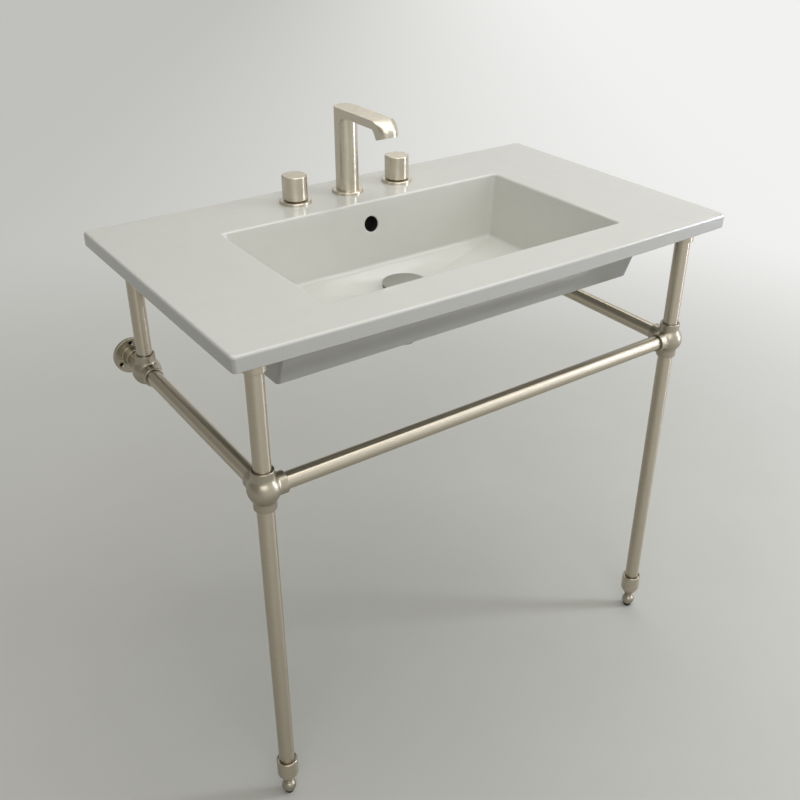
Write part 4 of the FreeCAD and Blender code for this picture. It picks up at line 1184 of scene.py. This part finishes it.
class SinkFlangesOperator(bpy.types.Operator):
    """Makes the wall flanges with their countersunk screw holes"""

    bl_idname = "sink.flanges"
    bl_label = "Wall flanges"

    def plate(self, radius, hub):
        s = bpy.context.scene.sink_metal
        return round_corners(
            (0, 0, 0),
            (radius, 0, 0),
            (radius, s.flange_thickness, s.flange_edge),
            (s.socket_radius, s.flange_thickness, s.flange_fillet),
            (s.socket_radius, hub, s.socket_lip),
            (tube_radius(), hub, 0),
            (tube_radius(), s.flange_back, 0),
            (0, s.flange_back, 0),
        )

    def execute(self, context):
        s = context.scene.sink_metal
        straight = s.flange_thickness - s.flange_sink + s.flange_hole
        # A thin web closes each hole, so that no light comes through and the hole looks deep; the
        # web and the hole's wall are painted almost black as painted shade.
        web_front = straight / 3
        past_front = s.flange_thickness + HOLE_PAST
        sunk_hole = [
            (0, web_front),
            (s.flange_hole, web_front),
            (s.flange_hole, straight),
            (s.flange_sink, s.flange_thickness),
            (s.flange_sink, past_front),
            (0, past_front),
        ]
        back_hole = cylinder(s.flange_hole, -HOLE_PAST, web_front - s.flange_web)
        for side in SIDES:
            node = side + "_wall_flange"
            low, high, centre, radius = measured(node)
            back = Vector((centre.x, high.y, middle(node).z))
            places = []
            for angle in FLANGE_HOLE_ANGLES:
                turn = math.radians(angle)
                way = Vector((math.cos(turn), 0, math.sin(turn)))
                places.append(back + way * s.flange_screw_circle)
            holes = [
                turned(hole, place, -Y_AXIS, HOLE_STEPS)
                for place in places
                for hole in (sunk_hole, back_hole)
            ]
            mesh = combine(turned(self.plate(radius, high.y - low.y), back, -Y_AXIS), cut=holes)
            flange = piece(node + "_turned", mesh, "brushed_nickel_casting", node)
            # Each screw hole's wall and web are painted almost black: painted shade.
            for place in places:
                mouth = place - Y_AXIS * straight
                shade_hole(flange, "bore_painted_shade", mouth, Y_AXIS, s.flange_hole, straight)
        return {"FINISHED"}


class SinkFeetOperator(bpy.types.Operator):
    """Makes the ball feet with their threaded studs, and the rubber glides under them"""

    bl_idname = "sink.feet"
    bl_label = "Feet"

    def execute(self, context):
        s = context.scene.sink_metal
        core = s.stud_radius - s.thread_depth
        for side in SIDES:
            node = side + "_levelling_foot"
            low, high, centre, ball = measured(node)
            ball_up = low.z + ball
            neck = math.degrees(math.asin(math.sqrt(ball ** 2 - core ** 2) / ball))
            profile = [(0, low.z)]
            profile += arc(0, ball_up, ball, -FOOT_BALL_POLE, neck, FOOT_BALL_STEPS)
            profile += [(core, high.z - core / 4), (core * 3 / 4, high.z), (0, high.z)]
            mesh = turned(profile, centre)
            piece(side + "_ball_foot", mesh, "brushed_nickel_casting", node, side + "_foot")
            glide = side + "_foot_glide"
            glide_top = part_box(glide)[1].z
            radius = measured(glide)[3]
            cup = math.sqrt(max(ball ** 2 - (ball_up - glide_top) ** 2, 0.0))
            profile = round_corners(
                (0, 0, 0),
                (radius - s.glide_slope, 0, s.glide_lower_edge),
                (radius, glide_top, s.glide_upper_edge),
                (cup, glide_top, 0),
                (0, low.z, 0),
            )
            mesh = turned(profile, centre)
            name = side + "_rubber_glide"
            piece(name, mesh, "moulded_rubber", glide, side + "_glide")
        return {"FINISHED"}


# What repeats: set screws, the feet's threads and the aerator's mesh


def new_tree(name, sizes):
    """An empty Geometry Nodes tree with a mesh and named size inputs."""
    tree = bpy.data.node_groups.new(name, "GeometryNodeTree")
    tree.interface.new_socket("Geometry", in_out="INPUT", socket_type="NodeSocketGeometry")
    for size in sizes:
        tree.interface.new_socket(size, in_out="INPUT", socket_type="NodeSocketFloat")
    tree.interface.new_socket("Geometry", in_out="OUTPUT", socket_type="NodeSocketGeometry")
    return tree, add(tree, "NodeGroupInput").outputs


def close_tree(tree, points, instance, **turn):
    """Ends a tree with its shape on each point, as plain geometry."""
    inputs = dict(turn, Points=points, Instance=instance)
    placed = add(tree, "GeometryNodeInstanceOnPoints", inputs=inputs).outputs["Instances"]
    real = add(tree, "GeometryNodeRealizeInstances", inputs={"Geometry": placed})
    add(tree, "NodeGroupOutput", inputs={"Geometry": real.outputs["Geometry"]})
    return tree


def circle(tree, radius):
    inputs = {"Resolution": HEX_SIDES, "Radius": radius}
    return add(tree, "GeometryNodeCurvePrimitiveCircle", inputs=inputs).outputs["Curve"]


def swept(tree, path, section, caps=False):
    inputs = {"Curve": path, "Profile Curve": section, "Fill Caps": caps}
    return add(tree, "GeometryNodeCurveToMesh", inputs=inputs).outputs["Mesh"]


def screw_tree():
    """Puts a set screw with a hex recess on each point, facing along its outward attribute."""
    tree, given = new_tree("set_screws", ("Radius", "Length", "Recess"))
    shank, recess = [
        add(
            tree,
            "GeometryNodeMeshCylinder",
            inputs={"Vertices": sides, "Radius": given[size], "Depth": given["Length"]},
        ).outputs["Mesh"]
        for sides, size in ((SCREW_SIDES, "Radius"), (HEX_SIDES, "Recess"))
    ]
    lift = add(tree, "ShaderNodeCombineXYZ", inputs={"Z": given["Radius"]})
    raised = add(
        tree,
        "GeometryNodeTransform",
        inputs={"Geometry": recess, "Translation": lift.outputs["Vector"]},
    )
    screw = add(
        tree,
        "GeometryNodeMeshBoolean",
        {"operation": "DIFFERENCE"},
        {"Mesh 1": shank, "Mesh 2": raised.outputs["Geometry"]},
    )
    outward = add(
        tree,
        "GeometryNodeInputNamedAttribute",
        {"data_type": "FLOAT_VECTOR"},
        {"Name": "outward"},
    )
    facing = add(
        tree,
        "FunctionNodeAlignRotationToVector",
        {"axis": "Z"},
        {"Vector": outward.outputs["Attribute"]},
    )
    turn = facing.outputs["Rotation"]
    return close_tree(tree, given["Geometry"], screw.outputs["Mesh"], Rotation=turn)


def thread_tree():
    """Winds a ridge up each point's upright axis."""
    tree, given = new_tree("foot_thread", ("Radius", "Pitch", "Height", "Depth"))
    turns = work_out(tree, "ShaderNodeMath", "DIVIDE", given["Height"], given["Pitch"])
    spiral = add(
        tree,
        "GeometryNodeCurveSpiral",
        inputs={
            "Resolution": THREAD_STEPS,
            "Rotations": turns,
            "Start Radius": given["Radius"],
            "End Radius": given["Radius"],
            "Height": given["Height"],
        },
    )
    wound = swept(tree, spiral.outputs["Curve"], circle(tree, given["Depth"]), caps=True)
    return close_tree(tree, given["Geometry"], wound)


def mesh_tree():
    """Puts a six-sided wire cell on each point."""
    tree, given = new_tree("aerator_mesh", ("Cell", "Wire"))
    bent = swept(tree, circle(tree, given["Cell"]), circle(tree, given["Wire"]))
    return close_tree(tree, given["Geometry"], bent)


def repeat(name, tree, points, sizes, outward=()):
    """An object with a tree's result on each point, as a plain mesh."""
    data = bpy.data.meshes.new(name + "_points")
    data.from_pydata(points, [], [])
    if outward:
        attribute = data.attributes.new("outward", "FLOAT_VECTOR", "POINT")
        for value, direction in zip(attribute.data, outward):
            value.vector = direction
    item = bpy.data.objects.new(name, data)
    bpy.context.scene.collection.objects.link(item)
    modifier = item.modifiers.new(name, "NODES")
    modifier.node_group = tree
    for socket in tree.interface.items_tree:
        if socket.in_out == "INPUT" and socket.name in sizes:
            modifier[socket.identifier] = sizes[socket.name]
    result = plain_mesh(item)
    if not result.polygons:
        raise RuntimeError("the nodes made nothing for " + name)
    item.modifiers.remove(modifier)
    item.data = result
    bpy.data.meshes.remove(data)
    return item


class SinkSetScrewsOperator(bpy.types.Operator):
    """Makes the set screws in the sockets, the wall flanges and the knobs"""

    bl_idname = "sink.set_screws"
    bl_label = "Set screws"

    def execute(self, context):
        s = context.scene.sink_metal
        tree = screw_tree()
        sizes = {
            "Radius": s.screw_radius,
            "Length": s.socket_radius - tube_radius(),
            "Recess": s.screw_hex,
        }
        depth = (s.socket_radius + tube_radius()) / 2
        points = []
        facings = []
        for node, centre, sockets in ball_fittings():
            for direction, outward in sockets:
                points.append(centre + direction * s.screw_reach + outward * depth)
                facings.append(outward)
        for side in SIDES:
            flange = side + "_wall_flange"
            hub = Vector((middle(flange).x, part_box(flange)[0].y, middle(side + "_side_rail").z))
            inside = s.mouth_depth + 2 * s.screw_radius
            points.append(hub + Y_AXIS * inside + Z_AXIS * depth)
            facings.append(Z_AXIS)
        screws = repeat("socket_set_screws", tree, points, sizes, facings)
        dress(screws, "stainless_steel", "set_screws")
        for side in SIDES:
            node = side + "_handle_screw"
            low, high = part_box(node)
            sizes["Length"] = high.y - low.y
            screw = repeat(side + "_knob_screw", tree, [middle(node)], sizes, [Y_AXIS])
            dress(screw, "stainless_steel", node, side + "_handle")
        return {"FINISHED"}


class SinkThreadsOperator(bpy.types.Operator):
    """Makes the threads on the feet's studs"""

    bl_idname = "sink.threads"
    bl_label = "Foot threads"

    def execute(self, context):
        s = context.scene.sink_metal
        tree = thread_tree()
        for side in SIDES:
            low, high, centre, ball = measured(side + "_levelling_foot")
            centre.z = low.z + 2 * ball - 2 * s.thread_depth
            sizes = {
                "Radius": s.stud_radius - s.thread_depth,
                "Pitch": s.thread_pitch,
                "Height": high.z - centre.z - 4 * s.thread_depth,
                "Depth": s.thread_depth,
            }
            thread = repeat(side + "_foot_thread", tree, [centre], sizes)
            dress(thread, "brushed_nickel_casting", body=side + "_foot")
        return {"FINISHED"}


class SinkAeratorOperator(bpy.types.Operator):
    """Makes the aerator's housing and its mesh"""

    bl_idname = "sink.aerator"
    bl_label = "Aerator"

    def execute(self, context):
        s = context.scene.sink_metal
        low, high, centre, radius = measured("aerator")
        wall = radius - s.aerator_wall
        face = low.z + s.aerator_recess
        profile = round_corners(
            (0, face, 0),
            (wall, face, 0),
            (wall, low.z, 0),
            (radius, low.z, s.aerator_edge),
            (radius, high.z, 0),
            (0, high.z, 0),
        )
        housing = turned(profile, centre)
        piece("aerator_housing", housing, "moulded_acetal", "aerator")
        points = []
        rows = int(wall / s.cell_width)
        for row in range(-rows, rows + 1):
            shift = s.cell_width / 2 if row % 2 else 0.0
            for column in range(-rows, rows + 1):
                x = column * s.cell_width + shift
                y = row * s.cell_width * math.sqrt(0.75)
                if math.hypot(x, y) < wall - s.cell_width / 2:
                    points.append(centre + Vector((x, y, face - s.cell_wire)))
        sizes = {"Cell": s.cell_width / math.sqrt(3), "Wire": s.cell_wire}
        mesh = repeat("aerator_mesh", mesh_tree(), points, sizes)
        dress(mesh, "stainless_steel")
        return {"FINISHED"}


# Pieces that keep their CAD shape

CARRIED_OVER = {
    "brushed_nickel_drain": ("drain_body", "tailpiece"),
    "machined_brass": (
        "spout_shank",
        "spout_tee",
        "deck_locknuts",
        "drain_locknut",
        "stopper_plunger",
        "left_valve_body",
        "right_valve_body",
        "left_valve_stem",
        "right_valve_stem",
    ),
    "drawn_copper": ("left_link_tube", "right_link_tube"),
    "moulded_acetal": ("left_cartridge", "right_cartridge", "drain_guide"),
    "lapped_alumina": ("fixed_discs",),
    "moulded_rubber": (
        "deck_washers",
        "drain_gasket",
        "drain_lower_gasket",
        "post_pads",
        "stopper_seal",
    ),
}


class SinkPlumbingOperator(bpy.types.Operator):
    """Gives the pieces under the deck and in the drain their finishes"""

    bl_idname = "sink.plumbing"
    bl_label = "Plumbing"

    def execute(self, context):
        for look, nodes in CARRIED_OVER.items():
            for node in nodes:
                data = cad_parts[node].data
                data.materials.clear()
                data.materials.append(finish_of(look))
        return {"FINISHED"}


# Studio


def area_light(name, place, target, size, power, tint):
    lamp = bpy.data.lights.new(name, "AREA")
    lamp.shape = "RECTANGLE"
    lamp.size, lamp.size_y = size
    lamp.energy = power
    lamp.color = linear(tint)[:3]
    item = bpy.data.objects.new(name, lamp)
    item.location = place
    item.rotation_euler = (Vector(target) - Vector(place)).to_track_quat("-Z", "Y").to_euler()
    bpy.context.scene.collection.objects.link(item)


class SinkStageOperator(bpy.types.Operator):
    """Makes the floor, the light and the camera"""

    bl_idname = "sink.stage"
    bl_label = "Stage"

    def floor(self):
        material = finish_of("painted_floor")
        self.fade(material.node_tree)
        mesh = bmesh.new()
        bmesh.ops.create_grid(mesh, x_segments=1, y_segments=1, size=FLOOR_REACH)
        item = solid_object("studio_floor", mesh)
        item.data.materials.append(material)

    def seen(self, ray):
        """One for what the camera sees straight, in a reflection or through glass."""
        tree = ray.id_data
        camera, glossy, through = [
            ray.outputs["Is %s Ray" % kind] for kind in ("Camera", "Glossy", "Transmission")
        ]
        straight = work_out(tree, "ShaderNodeMath", "MAXIMUM", camera, glossy)
        return work_out(tree, "ShaderNodeMath", "MAXIMUM", straight, through)

    def shade(self, tree, value, dim, dim_at, bright_at):
        """The background's colour, paler towards its bright side."""
        share = ramp(tree, value, dim_at, bright_at, "SMOOTHSTEP")
        return blend(tree, share, dim, linear(BACKDROP_BRIGHT))

    def fade(self, tree):
        """Turns the floor into a pale background away from the sink, where no shadow falls."""
        place = add(tree, "ShaderNodeTexCoord").outputs["Object"]
        seen = self.seen(add(tree, "ShaderNodeLightPath"))
        far = work_out(tree, "ShaderNodeVectorMath", "LENGTH", place)
        away = ramp(tree, far, FADE_START, FADE_END, "SMOOTHSTEP")
        share = work_out(tree, "ShaderNodeMath", "MULTIPLY", away, seen)
        across = work_out(
            tree, "ShaderNodeVectorMath", "DOT_PRODUCT", place, FLOOR_BRIGHT_SIDE
        )
        shade = self.shade(tree, across, linear(FLOOR_DIM), FLOOR_DIM_AT, FLOOR_BRIGHT_AT)
        pale = add(tree, "ShaderNodeEmission", inputs={"Color": shade, "Strength": 1.0})
        # The floor throws back less light than it shows, so the slab's underside stays in shade.
        dull = add(tree, "ShaderNodeBsdfDiffuse", inputs={"Color": linear(FLOOR_BOUNCE)})
        paint = tree.nodes["Principled BSDF"].outputs["BSDF"]
        near = add(
            tree, "ShaderNodeMixShader", inputs={0: seen, 1: dull.outputs["BSDF"], 2: paint}
        )
        both = add(
            tree,
            "ShaderNodeMixShader",
            inputs={0: share, 1: near.outputs["Shader"], 2: pale.outputs["Emission"]},
        )
        output = tree.nodes["Material Output"]
        tree.links.new(both.outputs["Shader"], output.inputs["Surface"])

    def surroundings(self):
        world = bpy.data.worlds.new("studio")
        bpy.context.scene.world = world
        world.use_nodes = True
        tree = world.node_tree
        tree.nodes.clear()
        white = linear("#FFFFFF")
        fill, backdrop = [
            add(tree, "ShaderNodeBackground", inputs={"Color": white, "Strength": strength})
            for strength in (FILL_LIGHT, 1.0)
        ]
        way = add(tree, "ShaderNodeTexCoord").outputs["Generated"]
        side = BRIGHT_SIDE.normalized()
        turn = work_out(tree, "ShaderNodeVectorMath", "DOT_PRODUCT", way, side)
        # The picture shows the backdrop as pale as the far floor, so that no line parts them.
        ray = add(tree, "ShaderNodeLightPath")
        camera = ray.outputs["Is Camera Ray"]
        dim = blend(tree, camera, linear(BACKDROP_DIM), linear(FLOOR_DIM))
        shade = self.shade(tree, turn, dim, BACKDROP_DIM_AT, BACKDROP_BRIGHT_AT)
        tree.links.new(shade, backdrop.inputs["Color"])
        both = add(
            tree,
            "ShaderNodeMixShader",
            inputs={
                0: self.seen(ray),
                1: fill.outputs["Background"],
                2: backdrop.outputs["Background"],
            },
        )
        add(tree, "ShaderNodeOutputWorld", inputs={"Surface": both.outputs["Shader"]})

    def execute(self, context):
        scene = context.scene
        scene.view_settings.view_transform = "Standard"
        self.floor()
        self.surroundings()
        for lamp in LAMPS:
            area_light(*lamp)
        camera = bpy.data.cameras.new("photo_camera")
        camera.lens = PHOTO_LENS
        camera.sensor_width = PHOTO_SENSOR
        camera.clip_end = CAMERA_FAR
        item = bpy.data.objects.new("photo_camera", camera)
        item.location = CAMERA_PLACE
        item.rotation_euler = (QUARTER - CAMERA_DIP, 0.0, CAMERA_SWING)
        scene.collection.objects.link(item)
        scene.camera = item
        return {"FINISHED"}


class SinkPanel(bpy.types.Panel):
    """Lists the steps that dress the sink, with their sizes and colours"""

    bl_idname = "VIEW3D_PT_sink"
    bl_label = "Console Sink"
    bl_space_type = "VIEW_3D"
    bl_region_type = "UI"
    bl_category = "Sink"

    def draw(self, context):
        scene = context.scene
        for step in STEPS:
            self.layout.operator(step.bl_idname)
        for group in (scene.sink_basin, scene.sink_metal, scene.sink_colours):
            box = self.layout.box()
            for name in group.__annotations__:
                box.prop(group, name, text=name.replace("_", " ").capitalize())


GROUPS = (SinkBasinSizes, SinkMetalSizes, SinkColours)
STEPS = (
    SinkStageOperator,
    SinkBasinOperator,
    SinkSpoutOperator,
    SinkKnobsOperator,
    SinkTapRingsOperator,
    SinkStopperOperator,
    SinkTubesOperator,
    SinkFittingsOperator,
    SinkCollarsOperator,
    SinkFlangesOperator,
    SinkFeetOperator,
    SinkSetScrewsOperator,
    SinkThreadsOperator,
    SinkAeratorOperator,
    SinkPlumbingOperator,
)


def register():
    for item in GROUPS + STEPS + (SinkPanel,):
        bpy.utils.register_class(item)
    bpy.types.Scene.sink_basin = bpy.props.PointerProperty(type=SinkBasinSizes)
    bpy.types.Scene.sink_metal = bpy.props.PointerProperty(type=SinkMetalSizes)
    bpy.types.Scene.sink_colours = bpy.props.PointerProperty(type=SinkColours)


def unregister():
    del bpy.types.Scene.sink_basin
    del bpy.types.Scene.sink_metal
    del bpy.types.Scene.sink_colours
    for item in reversed(GROUPS + STEPS + (SinkPanel,)):
        bpy.utils.unregister_class(item)


def main():
    register()
    bpy.ops.sink.stage()
    bpy.ops.sink.basin()
    bpy.ops.sink.spout()
    bpy.ops.sink.knobs()
    bpy.ops.sink.tap_rings()
    bpy.ops.sink.stopper()
    bpy.ops.sink.tubes()
    bpy.ops.sink.fittings()
    bpy.ops.sink.collars()
    bpy.ops.sink.flanges()
    bpy.ops.sink.feet()
    bpy.ops.sink.set_screws()
    bpy.ops.sink.threads()
    bpy.ops.sink.aerator()
    bpy.ops.sink.plumbing()


if __name__ == "__main__":
    main()
